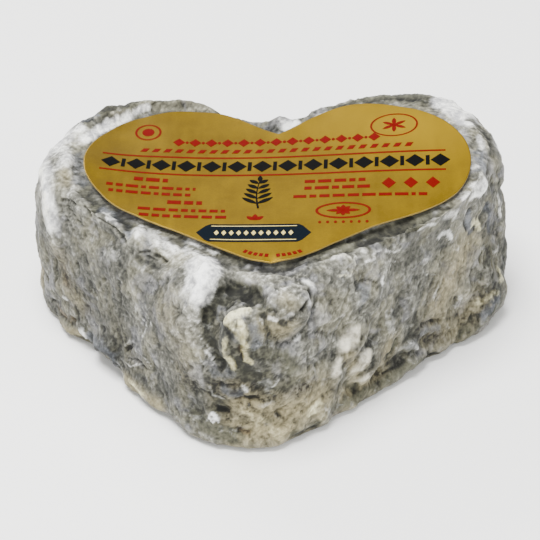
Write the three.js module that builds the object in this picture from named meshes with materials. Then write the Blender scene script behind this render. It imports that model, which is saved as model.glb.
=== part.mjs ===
import * as THREE from 'three';

// A small heart-shaped goat cheese with a mould-covered, ash-grey rind, and the
// heart-shaped paper label that lies on top of it. Millimetres, +Z up. The heart's
// point looks to -Y and its two lobes to +Y. The origin is the middle of the
// bounding box on the plane that the cheese rests on.

// The heart seen from above: three circles joined by bowed flanks, and a notch. A crest
// is the share of the way to the notch over which a lobe keeps its full depth, and the
// notch rise says how steeply the notch opens.
const heart = {
  left: { x: -24.2, y: 12.2, r: 20.6 },
  right: { x: 22.0, y: 15.8, r: 21.7 },
  tip: { x: -2.8, y: -22.2, r: 15.4 },
  notch: { x: -3.2, y: 24.4 },
  leftCrest: 0.06,
  rightCrest: 0.38,
  notchRise: 0.1,
  leftFlankBow: -0.5,
  rightFlankBow: 0.4,
};
const middle = { x: 0, y: 3 };

// The heights of the body and the roundings along its edges. The rim is higher at the
// back and the right, and its rounding is deeper round the lobes than at the point. It
// takes up a share of the way in to the label, and the seat slopes over a share of the top.
const rimHeight = 32.3;
const rimRiseToBack = 1.8;
const rimRiseToRight = 1.2;
const rimDips = [
  { x: -8, y: 26, wide: 11, deep: 1.9 },
  { x: 10, y: 27, wide: 9, deep: 0.8 },
];
const halfDepth = 37;
const halfWidth = 44;
const shoulderShare = 0.76;
const widestShoulder = 10.5;
const seatSlope = 0.3;
const crestToLabel = 2.2;
const seatToLabel = 0.8;
const shoulderDropAtPoint = 9;
const shoulderDropAtLobes = 13;
const footIn = 2.2;
const footRise = 3.0;

// The label: a smaller heart, whose middle sags a little. Its point and the corner at
// the back of the left lobe droop.
const label = {
  x: 0.9,
  y: 1.8,
  height: 32.3,
  thickness: 0.3,
  gap: 0.55,
  halfWidth: 35.6,
  pointDroop: 0.6,
  cornerDroop: 0.8,
  heart: {
    left: { x: -14.6, y: 4.9, r: 21.0 },
    right: { x: 14.6, y: 4.9, r: 21.0 },
    tip: { x: 0, y: -17.2, r: 10 },
    notch: { x: 0, y: 16.4 },
    leftCrest: 0.45,
    rightCrest: 0.45,
    notchRise: 0.28,
    leftFlankBow: 0,
    rightFlankBow: 0,
  },
};

// Lumps and hollows of the rind, seen from the middle of the heart: the bearing in
// degrees (0 to the right, 90 to the back), the height, and how far the surface
// moves out. A stroke runs through several places, and a spot has one.
const relief = [
  // left lobe
  { through: [[174, 30], [182, 24]], wide: 8, out: 1.5 },
  { through: [[-174, 19]], wide: 5, out: 1.1 },
  { through: [[158, 30], [143, 32]], wide: 9, out: 0.5 },
  { through: [[160, 35], [146, 36]], wide: 4, out: 0.9 },
  { through: [[-172, 28.5], [-160, 28], [-147, 28]], wide: 2.6, out: -1.2 },
  { through: [[-136, 28.5], [-124, 29]], wide: 2.4, out: -0.7 },
  { through: [[-173, 1]], wide: 5, out: 1.2 },
  { through: [[-160, 1]], wide: 4, out: -1.3 },
  { through: [[-152, 5]], wide: 5, out: 0.9 },
  { through: [[-147, 1]], wide: 4, out: -1.0 },
  // left flank
  { through: [[-138, 2], [-128, 2]], wide: 8, out: 1.4 },
  { through: [[-136, 1]], wide: 4, out: 0.9 },
  { through: [[-140, 17]], wide: 8, out: -0.5 },
  { through: [[-122, 20]], wide: 7, out: 0.6 },
  // the point of the heart, with its broken hollow and the curd standing in it
  { through: [[-110, 31]], wide: 8, out: 1.3 },
  { through: [[-104.5, 24], [-103, 28], [-98, 30.5], [-93, 29.5]], wide: 3.4, out: -2.8 },
  { through: [[-103.5, 25], [-100.5, 19]], wide: 3.2, out: -2.0 },
  { through: [[-95, 26.5], [-98, 21.5]], wide: 3.2, out: 1.2 },
  { through: [[-94, 25], [-92, 20.5]], wide: 2.8, out: 0.8 },
  { through: [[-81, 27.5]], wide: 7, out: 2.0 },
  { through: [[-86, 24], [-79, 22.5], [-74, 27]], wide: 2.0, out: -1.5 },
  { through: [[-108, 1], [-88, 1]], wide: 6, out: 1.2 },
  { through: [[-74, 1]], wide: 4, out: 0.8 },
  { through: [[-85.5, 7.5]], wide: 2.6, out: -1.4 },
  { through: [[-99, 8.5]], wide: 2.6, out: -1.2 },
  { through: [[-101, 5.5]], wide: 2.6, out: 1.0 },
  // curd grains along the right flank
  { through: [[-58, 16.5], [-59, 14.5]], wide: 2.8, out: 1.8 },
  { through: [[-63, 14.3]], wide: 2.6, out: 1.4 },
  { through: [[-52, 9.5], [-52.5, 7.8]], wide: 3.2, out: 2.0 },
  { through: [[-67, 11.8], [-67, 10.2]], wide: 2.6, out: 1.3 },
  { through: [[-54, 4.4]], wide: 2.8, out: 1.2 },
  { through: [[-72, 4.2]], wide: 3.2, out: 1.2 },
  { through: [[-38, 26], [-28, 28]], wide: 4, out: -0.8 },
  { through: [[-55, 23]], wide: 8, out: 0.7 },
  // the pressed-out seam along the foot of the right flank
  { through: [[-62, 1], [-45, 1.5], [-20, 1.5]], wide: 3.4, out: 1.4 },
  { through: [[-16, 2], [4, 4]], wide: 8, out: 2.2 },
  { through: [[-14, 2], [-6, 2]], wide: 6, out: 3.0 },
  { through: [[-36, 1], [-20, 1]], wide: 4, out: 1.5 },
  { through: [[7, 6]], wide: 5, out: 0.9 },
  { through: [[-60, 5], [-45, 4.6], [-25, 5.4]], wide: 2.0, out: -1.1 },
  { through: [[-31, 7]], wide: 3.4, out: 1.5 },
  { through: [[-22, 1]], wide: 3, out: -1.2 },
  // right lobe, creased from top to foot
  { through: [[3, 11]], wide: 3.6, out: 1.6 },
  { through: [[0, 6]], wide: 4, out: 0.9 },
  { through: [[-4, 22], [12, 26], [26, 26]], wide: 13, out: -1.3 },
  { through: [[-4, 25.5]], wide: 2.8, out: 1.0 },
  { through: [[1, 31]], wide: 4, out: 0.9 },
  { through: [[8, 29], [9, 13]], wide: 2.6, out: -0.9 },
  { through: [[14, 27], [15, 8]], wide: 3, out: 0.7 },
  { through: [[16, 30], [27, 32]], wide: 7, out: 1.8 },
  { through: [[33, 33], [47, 34]], wide: 6, out: 0.7 },
  { through: [[21, 28], [22, 10]], wide: 2.6, out: -0.8 },
  // the back, from the right lobe round to the left
  { through: [[36, 22], [38, 8]], wide: 6, out: 0.9 },
  { through: [[52, 27], [50, 14]], wide: 3, out: -0.9 },
  { through: [[60, 10]], wide: 6, out: 1.0 },
  { through: [[74, 30]], wide: 4, out: 0.9 },
  { through: [[70, 20]], wide: 7, out: -0.9 },
  { through: [[84, 26], [86, 12]], wide: 2.8, out: 1.0 },
  { through: [[97, 8]], wide: 5, out: 1.1 },
  { through: [[104, 22]], wide: 7, out: -0.8 },
  { through: [[116, 27], [114, 15]], wide: 3.2, out: 1.0 },
  { through: [[124, 9]], wide: 6, out: 1.0 },
  { through: [[134, 20]], wide: 7, out: 0.9 },
  { through: [[143, 8]], wide: 4, out: -1.1 },
  { through: [[169, 8]], wide: 5, out: -0.5 },
];

// The crags all over the rind: the size of a crag and how far it stands out.
const crags = [
  { size: 11, out: 0.6, seed: 3 },
  { size: 5, out: 0.5, seed: 8 },
  { size: 2.6, out: 0.22, seed: 21 },
];
// The crags fade out towards the foot and the label's edge, and stay off the ground.
const quietFoot = 0.8;
const quietRim = 3;
const lowestRelief = 0.2;

// How finely the surfaces are divided.
const pointsAround = 156;
const normalReach = 2;
const millimetresPerDegree = 0.7;
const footRows = 3;
const wallRows = 12;
const shoulderRows = 8;
const baseRings = [0.45, 0.85];
const topRings = [0.86, 0.7, 0.5, 0.26];
const labelPointsAround = 96;
const labelRings = [0.8, 0.55, 0.28];

function smoothStep(value) {
  const t = Math.min(1, Math.max(0, value));
  return t * t * (3 - 2 * t);
}

// The unit normal of the straight line that touches two circles on the given side.
function tangentNormal(first, second, side) {
  const dx = second.x - first.x;
  const dy = second.y - first.y;
  const spread = Math.acos((first.r - second.r) / Math.hypot(dx, dy));
  return Math.atan2(dy, dx) + side * spread;
}

function onCircle(circle, angle) {
  return new THREE.Vector2(
    circle.x + circle.r * Math.cos(angle),
    circle.y + circle.r * Math.sin(angle),
  );
}

// The closed heart outline, anticlockwise from the notch.
function heartPath(shape) {
  const { left, right, tip, notch } = shape;
  const leftAngle = tangentNormal(left, tip, -1);
  const rightAngle = tangentNormal(right, tip, 1);
  const path = new THREE.Path();
  const valley = new THREE.Vector2(notch.x, notch.y);
  const leftTop = onCircle(left, Math.PI / 2);
  const rightTop = onCircle(right, Math.PI / 2);
  const steep = 0.28;
  const rise = shape.notchRise;

  function bowedLine(from, to, angle, bow) {
    const control = from.clone().add(to).multiplyScalar(0.5);
    control.x += 2 * bow * Math.cos(angle);
    control.y += 2 * bow * Math.sin(angle);
    path.quadraticCurveTo(control.x, control.y, to.x, to.y);
  }

  path.moveTo(valley.x, valley.y);
  path.bezierCurveTo(
    valley.x + steep * (leftTop.x - valley.x),
    valley.y + rise * (leftTop.y - valley.y),
    leftTop.x + shape.leftCrest * (valley.x - leftTop.x),
    leftTop.y,
    leftTop.x,
    leftTop.y,
  );
  path.absarc(left.x, left.y, left.r, Math.PI / 2, leftAngle + 2 * Math.PI, false);
  bowedLine(onCircle(left, leftAngle), onCircle(tip, leftAngle), leftAngle, shape.leftFlankBow);
  path.absarc(tip.x, tip.y, tip.r, leftAngle, rightAngle, false);
  bowedLine(onCircle(tip, rightAngle), onCircle(right, rightAngle), rightAngle, shape.rightFlankBow);
  path.absarc(right.x, right.y, right.r, rightAngle, Math.PI / 2, false);
  path.bezierCurveTo(
    rightTop.x + shape.rightCrest * (valley.x - rightTop.x),
    rightTop.y,
    valley.x + steep * (rightTop.x - valley.x),
    valley.y + rise * (rightTop.y - valley.y),
    valley.x,
    valley.y,
  );
  return path;
}

function closedPoints(path, count) {
  return path.getSpacedPoints(count).slice(0, count);
}

// Outward plan normals of a closed outline, smoothed over the neighbouring points.
function outwardNormals(points, reach) {
  const count = points.length;
  return points.map((point, i) => {
    const before = points[(i - reach + count) % count];
    const after = points[(i + reach) % count];
    return new THREE.Vector2(after.y - before.y, before.x - after.x).normalize();
  });
}

// Noise between hashed whole-number places, from -1 to 1, the same on every machine.
function hashed(x, y, z, seed) {
  let h = Math.imul(x, 374761393) + Math.imul(y, 668265263) + Math.imul(z, 2147483629);
  h = Math.imul(h ^ Math.imul(seed, 1274126177), 1103515245);
  h = Math.imul(h ^ (h >>> 13), 1274126177);
  return ((h ^ (h >>> 16)) >>> 0) / 2147483648 - 1;
}

function noise(x, y, z, seed) {
  const cell = [Math.floor(x), Math.floor(y), Math.floor(z)];
  const blend = [x - cell[0], y - cell[1], z - cell[2]].map(smoothStep);
  let sum = 0;
  for (let corner = 0; corner < 8; corner += 1) {
    const step = [corner & 1, (corner >> 1) & 1, corner >> 2];
    const weight = step.reduce((w, s, axis) => w * (s ? blend[axis] : 1 - blend[axis]), 1);
    sum += weight * hashed(cell[0] + step[0], cell[1] + step[1], cell[2] + step[2], seed);
  }
  return sum;
}

// The height of the rim over a place in plan.
function rimAt(x, y) {
  const dips = rimDips.map((dip) => {
    const share = Math.max(0, 1 - (Math.hypot(x - dip.x, y - dip.y) / dip.wide) ** 2);
    return dip.deep * share * share;
  });
  const drop = dips.reduce((sum, dip) => sum + dip, 0);
  return rimHeight + (rimRiseToBack * y) / halfDepth + (rimRiseToRight * x) / halfWidth - drop;
}

// The underside of the label.
function labelUnderside(x, y) {
  const u = (x - label.x) / label.halfWidth;
  const v = (y - label.y) / label.halfWidth;
  const sag = 1.6 * u * u + 1.3 * u * v - 1.7 * u * u * u + 1.3 * u * u * v + 2.1 * u;
  const pointDroop = label.pointDroop * smoothStep((-v - 0.4) / 0.35);
  const cornerDroop = label.cornerDroop * smoothStep((-u - 0.5) / 0.4) * smoothStep(v / 0.4);
  return label.height + sag - pointDroop - cornerDroop;
}

// The label's edge in plan, and how far a place in plan is from it.
const labelEdge = closedPoints(heartPath(label.heart), pointsAround);
labelEdge.forEach((point) => point.add(new THREE.Vector2(label.x, label.y)));

function distanceToLabel(x, y) {
  return Math.min(...labelEdge.map((edge) => Math.hypot(edge.x - x, edge.y - y)));
}

// The plain body, before its relief: rings from the underside up to the top. Those of
// the walls and the shoulder are craggy, and the underside and the label's seat aren't.
function bodyRings() {
  const outline = closedPoints(heartPath(heart), pointsAround);
  const normals = outwardNormals(outline, normalReach);
  const centre = new THREE.Vector2(middle.x, middle.y);
  const toLabel = outline.map(({ x, y }) => Math.min(widestShoulder, distanceToLabel(x, y)));
  const toSeat = toLabel.map((distance) => distance - seatToLabel);
  const inset = (i, distance) => outline[i].clone().addScaledVector(normals[i], -distance);
  const rings = [];

  function addRing(craggy, place) {
    rings.push({ craggy, points: outline.map((_, i) => place(i)) });
  }

  for (const share of baseRings) {
    addRing(false, (i) => {
      const at = centre.clone().lerp(inset(i, footIn), share);
      return new THREE.Vector3(at.x, at.y, 0);
    });
  }
  for (let row = 0; row < footRows; row += 1) {
    const turn = ((row / footRows) * Math.PI) / 2;
    addRing(row > 0, (i) => {
      const at = inset(i, footIn * (1 - Math.sin(turn)));
      return new THREE.Vector3(at.x, at.y, footRise * (1 - Math.cos(turn)));
    });
  }
  const dropAt = (y) => {
    const toLobes = smoothStep((y + halfDepth / 2) / halfDepth);
    return shoulderDropAtPoint + (shoulderDropAtLobes - shoulderDropAtPoint) * toLobes;
  };
  for (let row = 0; row < wallRows; row += 1) {
    addRing(true, (i) => {
      const { x, y } = outline[i];
      const wallTop = rimAt(x, y) - dropAt(y);
      return new THREE.Vector3(x, y, footRise + ((wallTop - footRise) * row) / wallRows);
    });
  }
  for (let row = 0; row <= shoulderRows; row += 1) {
    const turn = ((row / shoulderRows) * Math.PI) / 2;
    addRing(true, (i) => {
      const crest = Math.min(shoulderShare * toLabel[i], toLabel[i] - crestToLabel);
      const at = inset(i, crest * (1 - Math.cos(turn)));
      const { x, y } = outline[i];
      return new THREE.Vector3(at.x, at.y, rimAt(x, y) - dropAt(y) * (1 - Math.sin(turn)));
    });
  }
  const seat = (at) => labelUnderside(at.x, at.y) - label.gap;
  const edgeHeight = (i, at) => Math.min(rimAt(outline[i].x, outline[i].y), seat(at));
  addRing(false, (i) => {
    const at = inset(i, toSeat[i]);
    return new THREE.Vector3(at.x, at.y, edgeHeight(i, at));
  });
  for (const share of topRings) {
    addRing(false, (i) => {
      const edge = inset(i, toSeat[i]);
      const at = centre.clone().lerp(edge, share);
      const inward = smoothStep((1 - share) / seatSlope);
      return new THREE.Vector3(at.x, at.y, edgeHeight(i, edge) * (1 - inward) + seat(at) * inward);
    });
  }
  return rings;
}

// Where a bearing and a height meet the plain wall.
function wallPlace([bearing, height], rings) {
  let best = null;
  let least = Infinity;
  for (const { points } of rings.filter(({ craggy }) => craggy)) {
    for (const point of points) {
      const turn = (Math.atan2(point.y - middle.y, point.x - middle.x) * 180) / Math.PI;
      const off = ((turn - bearing + 540) % 360) - 180;
      const miss = Math.abs(off) * millimetresPerDegree + Math.abs(point.z - height);
      if (miss < least) {
        least = miss;
        best = point;
      }
    }
  }
  return best;
}

// How far the relief moves a point of the rind along its normal.
function reliefAt(point, strokes) {
  let out = 0;
  const nearest = new THREE.Vector3();
  for (const { lines, wide, height } of strokes) {
    let distance = Infinity;
    for (const line of lines) {
      line.closestPointToPoint(point, true, nearest);
      distance = Math.min(distance, nearest.distanceTo(point));
    }
    const share = Math.max(0, 1 - (distance / wide) ** 2);
    out += height * share * share;
  }
  for (const crag of crags) {
    out += crag.out * noise(point.x / crag.size, point.y / crag.size, point.z / crag.size, crag.seed);
  }
  return out;
}

// The rings with their relief, kept off the underside and off the label's seat.
function craggyRings() {
  const rings = bodyRings();
  const strokes = relief.map(({ through, wide, out }) => {
    const places = through.map((place) => wallPlace(place, rings));
    const ends = places.length > 1 ? places.slice(1) : places;
    return { lines: ends.map((end, i) => new THREE.Line3(places[i], end)), wide, height: out };
  });

  return rings.map(({ craggy, points }, row) => points.map((point, i) => {
    if (!craggy) return point;
    const count = points.length;
    const around = points[(i + 1) % count].clone().sub(points[(i - 1 + count) % count]);
    const upward = rings[row + 1].points[i].clone().sub(rings[row - 1].points[i]);
    const normal = around.cross(upward).normalize();
    const toLabel = distanceToLabel(point.x, point.y);
    const quiet = smoothStep(point.z / quietFoot) * smoothStep(toLabel / quietRim);
    const moved = point.clone().addScaledVector(normal, reliefAt(point, strokes) * quiet);
    moved.z = Math.max(moved.z, lowestRelief);
    return moved;
  }));
}

// One closed mesh through rings of equal length, with a point closing each end.
function closedMesh(rings, firstPole, lastPole) {
  const count = rings[0].length;
  const points = [firstPole, ...rings.flat(), lastPole];
  const last = points.length - 1;
  const triangles = [];
  const vertex = (row, i) => 1 + row * count + (i % count);
  for (let i = 0; i < count; i += 1) {
    triangles.push(0, vertex(0, i + 1), vertex(0, i));
    triangles.push(last, vertex(rings.length - 1, i), vertex(rings.length - 1, i + 1));
  }
  for (let row = 0; row + 1 < rings.length; row += 1) {
    for (let i = 0; i < count; i += 1) {
      const a = vertex(row, i);
      const b = vertex(row, i + 1);
      const c = vertex(row + 1, i + 1);
      const d = vertex(row + 1, i);
      triangles.push(a, b, c, a, c, d);
    }
  }
  const geometry = new THREE.BufferGeometry();
  geometry.setFromPoints(points);
  geometry.setIndex(triangles);
  geometry.computeVertexNormals();
  return geometry;
}

function cheeseGeometry() {
  const rings = craggyRings();
  const bottom = new THREE.Vector3(middle.x, middle.y, 0);
  const top = new THREE.Vector3(middle.x, middle.y, label.height - label.gap);
  return closedMesh(rings, bottom, top);
}

function labelGeometry() {
  const outline = closedPoints(heartPath(label.heart), labelPointsAround);
  const rise = (x, y, lift) => new THREE.Vector3(x, y, labelUnderside(x, y) + lift);
  const ringAt = (share, lift) => outline.map((point) => {
    const x = label.x + point.x * share;
    const y = label.y + point.y * share;
    return rise(x, y, lift);
  });
  const under = [...labelRings].reverse().map((share) => ringAt(share, 0));
  const over = labelRings.map((share) => ringAt(share, label.thickness));
  const rings = [...under, ringAt(1, 0), ringAt(1, label.thickness), ...over];
  return closedMesh(
    rings,
    rise(label.x, label.y, 0),
    rise(label.x, label.y, label.thickness),
  );
}

const rind = new THREE.MeshStandardMaterial({ color: 0xb4b2aa, roughness: 0.95, metalness: 0 });
const goldPaper = new THREE.MeshStandardMaterial({ color: 0xb08c30, roughness: 0.45, metalness: 0.2 });

const cheese = new THREE.Mesh(cheeseGeometry(), rind);
cheese.name = 'cheese';
const paper = new THREE.Mesh(labelGeometry(), goldPaper);
paper.name = 'label';

const part = new THREE.Group();
part.add(cheese, paper);
const bounds = new THREE.Box3().setFromObject(part);
const bulk = bounds.getCenter(new THREE.Vector3());
part.position.set(-bulk.x, -bulk.y, -bounds.min.z);

export default part;
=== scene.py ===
import math

import bpy
import numpy as np
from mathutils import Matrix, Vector
from mathutils.bvhtree import BVHTree


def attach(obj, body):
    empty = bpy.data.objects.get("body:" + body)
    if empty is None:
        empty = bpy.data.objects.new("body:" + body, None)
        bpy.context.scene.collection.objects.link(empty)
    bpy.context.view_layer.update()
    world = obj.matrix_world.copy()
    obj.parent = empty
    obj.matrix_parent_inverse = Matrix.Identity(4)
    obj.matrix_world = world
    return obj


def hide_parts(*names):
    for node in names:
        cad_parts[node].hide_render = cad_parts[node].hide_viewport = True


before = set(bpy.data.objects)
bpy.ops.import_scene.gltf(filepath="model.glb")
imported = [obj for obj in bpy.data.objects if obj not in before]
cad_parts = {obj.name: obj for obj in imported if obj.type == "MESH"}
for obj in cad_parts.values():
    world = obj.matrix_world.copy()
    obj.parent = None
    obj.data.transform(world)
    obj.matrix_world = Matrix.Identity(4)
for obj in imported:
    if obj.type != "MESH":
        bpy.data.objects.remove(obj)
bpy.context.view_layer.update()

# A heart-shaped goat cheese with an ash-grey, mould-covered rind, under a gold paper label.
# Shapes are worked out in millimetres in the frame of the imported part, and every mesh is
# made in metres from them.
MM = 0.001

# The camera, solved from the outlines of the label and the body in the photograph.
PHOTO_SIZE = 540
FOCAL_PIXELS = 2421.6
SENSOR = 36.0
CAMERA_PLACE = (16.88, -377.79, 260.92)
CAMERA_TURN = 2.53
CAMERA_TILT = 33.14

# The middle of the heart in plan, from which bearings are counted.
MIDDLE = (0.1, 3.3)

# The label: a symmetrical heart about its own middle, and the sag of the paper.
LABEL_X = 0.994
LABEL_Y = 2.096
LABEL_HALF_WIDTH = 35.6
LABEL_HEIGHT = 32.6
POINT_DROOP = 0.6
CORNER_DROOP = 0.8
LABEL_THICKNESS = 0.26
LOBE_X = 14.6
LOBE_Y = 4.9
LOBE_RADIUS = 21.0
TIP_Y = -17.2
TIP_RADIUS = 10.0
NOTCH_Y = 16.4
NOTCH_CREST = 0.45
NOTCH_STEEP = 0.28
NOTCH_RISE = 0.28

scene = bpy.context.scene


# Small helpers.

def smooth_step(value):
    t = np.clip(value, 0.0, 1.0)
    return t * t * (3 - 2 * t)


def rgb(red, green, blue):
    """A colour given as it looks on a screen, in linear light."""
    def linear(level):
        share = level / 255
        return share / 12.92 if share <= 0.04045 else ((share + 0.055) / 1.055) ** 2.4
    return (linear(red), linear(green), linear(blue), 1)


# Noise on lattices of hashed places, the same on every run. The last argument is the seed.

def hashed(cell, seed):
    """Whole numbers spread evenly over 32 bits, one for each lattice place."""
    h = cell[..., 0] * 73856093 ^ cell[..., 1] * 19349663 ^ cell[..., 2] * 83492791
    h = (h ^ (seed * 2654435761)) & 0xFFFFFFFF
    h = ((h ^ (h >> 15)) * 2246822519) & 0xFFFFFFFF
    h = ((h ^ (h >> 13)) * 3266489917) & 0xFFFFFFFF
    return h ^ (h >> 16)


def in_cell(bits):
    """Three shares from 0 to 1 out of the bits of a hash."""
    return np.stack([bits & 1023, bits >> 10 & 1023, bits >> 20 & 1023], axis=-1) / 1023


def noise(points, size, seed):
    """Gradient noise of about -1 to 1 on places in mm; size is one cell or one per axis."""
    place = points / np.asarray(size, dtype=float)
    cell = np.floor(place).astype(np.int64)
    inside = place - cell
    fade = inside ** 3 * (inside * (inside * 6 - 15) + 10)
    total = np.zeros(len(points))
    for corner in range(8):
        step = np.array((corner & 1, corner >> 1 & 1, corner >> 2))
        slope = in_cell(hashed(cell + step, seed)) * 2 - 1
        weight = np.prod(np.where(step, fade, 1 - fade), axis=1)
        total += weight * np.sum(slope * (inside - step), axis=1)
    return total * 1.6


def ridges(points, size, seed):
    """Narrow raised folds: 1 along their crests, near 0 between them."""
    return 1 - np.minimum(np.abs(noise(points, size, seed)) * 2.4, 1)


def warped(points, size, far, seed):
    """Places pushed about by noise, so that what is drawn on them winds."""
    push = np.stack([noise(points, size, seed + k) for k in range(3)], axis=1)
    return points + far * push


def dimples(points, size, radius, seed):
    """Round spots, one somewhere in each lattice cell: 1 at the centre, 0 at the radius."""
    cell = np.floor(points / size).astype(np.int64)
    nearest = np.full(len(points), np.inf)
    for dx in (-1, 0, 1):
        for dy in (-1, 0, 1):
            for dz in (-1, 0, 1):
                around = cell + np.array((dx, dy, dz))
                gap = points - (around + in_cell(hashed(around, seed))) * size
                nearest = np.minimum(nearest, np.sum(gap * gap, axis=1))
    return np.clip(1 - nearest / radius ** 2, 0, 1)


# Meshes.

def mesh_arrays(obj):
    """The vertices, in mm, and the triangles of a mesh, with split vertices merged."""
    mesh = obj.data
    points = np.empty(len(mesh.vertices) * 3)
    mesh.vertices.foreach_get("co", points)
    points = points.reshape(-1, 3) / MM
    mesh.calc_loop_triangles()
    triangles = np.empty(len(mesh.loop_triangles) * 3, dtype=np.int64)
    mesh.loop_triangles.foreach_get("vertices", triangles)
    keys = np.round(points, 3)
    _, first, inverse = np.unique(keys, axis=0, return_index=True, return_inverse=True)
    triangles = inverse.ravel()[triangles].reshape(-1, 3)
    apart = (triangles != np.roll(triangles, 1, axis=1)).all(axis=1)
    return points[first], triangles[apart]


def mesh_edges(triangles):
    """The edges of a mesh, and the numbers of the three round each triangle in turn."""
    sides = np.sort(triangles[:, [0, 1, 1, 2, 2, 0]].reshape(-1, 2), axis=1)
    edges, edge_of = np.unique(sides, axis=0, return_inverse=True)
    return edges, edge_of.ravel()


def subdivide(points, triangles):
    """One step of Loop subdivision of a closed triangle mesh."""
    edges, edge_of = mesh_edges(triangles)
    wings = np.zeros((len(edges), 3))
    np.add.at(wings, edge_of, points[triangles[:, [2, 0, 1]].ravel()])
    middles = 3 / 8 * (points[edges[:, 0]] + points[edges[:, 1]]) + wings / 8
    count = np.bincount(edges.ravel(), minlength=len(points))[:, None]
    share = 5 / 8 - (3 / 8 + np.cos(2 * np.pi / count) / 4) ** 2
    corners = (1 - share) * points + share * neighbour_mean(points, edges)
    a, b, c = triangles.T
    ab, bc, ca = edge_of.reshape(-1, 3).T + len(points)
    faces = np.stack([a, ab, ca, ab, b, bc, ca, bc, c, ab, bc, ca], axis=1).reshape(-1, 3)
    return np.vstack([corners, middles]), faces


def neighbour_mean(values, edges):
    total = np.zeros_like(values)
    np.add.at(total, edges[:, 0], values[edges[:, 1]])
    np.add.at(total, edges[:, 1], values[edges[:, 0]])
    count = np.bincount(edges.ravel(), minlength=len(values))
    return total / (count[:, None] if values.ndim == 2 else count)


def vertex_normals(points, triangles):
    a, b, c = (points[triangles[:, k]] for k in range(3))
    face = np.cross(b - a, c - a)
    total = np.zeros_like(points)
    for k in range(3):
        np.add.at(total, triangles[:, k], face)
    return total / np.maximum(np.linalg.norm(total, axis=1, keepdims=True), 1e-12)


def grid_faces(grid):
    """The quads between the rows and columns of a grid of vertex numbers."""
    corners = [grid[:-1, :-1], grid[:-1, 1:], grid[1:, 1:], grid[1:, :-1]]
    return np.stack(corners, axis=-1).reshape(-1, 4).tolist()


def wall_faces(edge, under):
    """The quads from a run of vertices to those that come `under` places after them."""
    return np.column_stack([edge[:-1], edge[:-1] + under, edge[1:] + under, edge[1:]]).tolist()


def turned_under(faces, under):
    """The same faces on the vertices that come `under` places later, facing the other way."""
    return [[vertex + under for vertex in reversed(face)] for face in faces]


def new_object(name, points, faces, materials=(), smooth=True):
    mesh = bpy.data.meshes.new(name)
    mesh.from_pydata((np.asarray(points) * MM).tolist(), [], [tuple(face) for face in faces])
    mesh.update()
    mesh.polygons.foreach_set("use_smooth", np.full(len(mesh.polygons), smooth))
    for material in materials:
        mesh.materials.append(material)
    obj = bpy.data.objects.new(name, mesh)
    scene.collection.objects.link(obj)
    return obj


def add_attribute(obj, name, values):
    attribute = obj.data.attributes.new(name, "FLOAT", "POINT")
    attribute.data.foreach_set("value", np.asarray(values, dtype=np.float32))


# Material nodes.

class Nodes:
    """A material whose node tree is written as sums: each call adds one node."""

    def __init__(self, name):
        self.material = bpy.data.materials.new(name)
        self.material.use_nodes = True
        self.tree = self.material.node_tree
        self.shader = self.tree.nodes["Principled BSDF"]

    def feed(self, socket, value):
        if isinstance(value, bpy.types.NodeSocket):
            self.tree.links.new(value, socket)
        else:
            socket.default_value = value

    def add(self, kind, inputs, **settings):
        node = self.tree.nodes.new(kind)
        for key, value in settings.items():
            setattr(node, key, value)
        for socket, value in inputs.items():
            self.feed(node.inputs[socket], value)
        return node

    def surface(self, **inputs):
        for name, value in inputs.items():
            self.feed(self.shader.inputs[name.replace("_", " ").title()], value)

    def place(self):
        """The place on the object, in mm."""
        where = self.add("ShaderNodeTexCoord", {}).outputs["Object"]
        scaled = self.add("ShaderNodeVectorMath", {0: where, "Scale": 1 / MM}, operation="SCALE")
        return scaled.outputs[0]

    def attribute(self, name):
        return self.add("ShaderNodeAttribute", {}, attribute_name=name).outputs["Fac"]

    def math(self, operation, *inputs):
        return self.add("ShaderNodeMath", dict(enumerate(inputs)), operation=operation).outputs[0]

    def times(self, first, second):
        return self.math("MULTIPLY", first, second)

    def total(self, start, parts):
        """A number plus several values, each times its own amount."""
        for value, amount in parts:
            start = self.math("MULTIPLY_ADD", value, amount, start)
        return start

    def split(self, vector):
        return self.add("ShaderNodeSeparateXYZ", {0: vector}).outputs

    def span(self, value, low, high):
        """0 below low, 1 above high, with a smooth step between."""
        inputs = {"Value": value, "From Min": low, "From Max": high}
        return self.add("ShaderNodeMapRange", inputs, interpolation_type="SMOOTHSTEP").outputs[0]

    def noise(self, where, scale, detail=3.0, roughness=0.55, distortion=0.0):
        inputs = {
            "Vector": where, "Scale": scale, "Detail": detail,
            "Roughness": roughness, "Distortion": distortion,
        }
        return self.add("ShaderNodeTexNoise", inputs).outputs["Fac"]

    def skewed(self, where, lean, stretch):
        """Places leaned along y with height and drawn out along z."""
        x, y, z = self.split(where)
        inputs = {0: x, 1: self.total(0, [(y, 1), (z, -lean)]), 2: self.times(z, 1 / stretch)}
        return self.add("ShaderNodeCombineXYZ", inputs).outputs[0]

    def blend(self, share, first, second):
        """A number between two others."""
        inputs = {0: share, 2: first, 3: second}
        return self.add("ShaderNodeMix", inputs, data_type="FLOAT").outputs[0]

    def mix(self, share, first, second):
        """A colour between two others."""
        inputs = {0: share, 6: first, 7: second}
        return self.add("ShaderNodeMix", inputs, data_type="RGBA").outputs[2]

    def ramp(self, value, colours):
        """A colour out of a row of evenly spaced ones."""
        node = self.add("ShaderNodeValToRGB", {0: value})
        elements = node.color_ramp.elements
        while len(elements) < len(colours):
            elements.new(0.5)
        for element, position, colour in zip(elements, np.linspace(0, 1, len(colours)), colours):
            element.position = position
            element.color = rgb(*colour)
        return node.outputs[0]

    def bump(self, height, distance, strength=1.0):
        inputs = {"Height": height, "Distance": distance * MM, "Strength": strength}
        return self.add("ShaderNodeBump", inputs).outputs[0]


# The camera.

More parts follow.
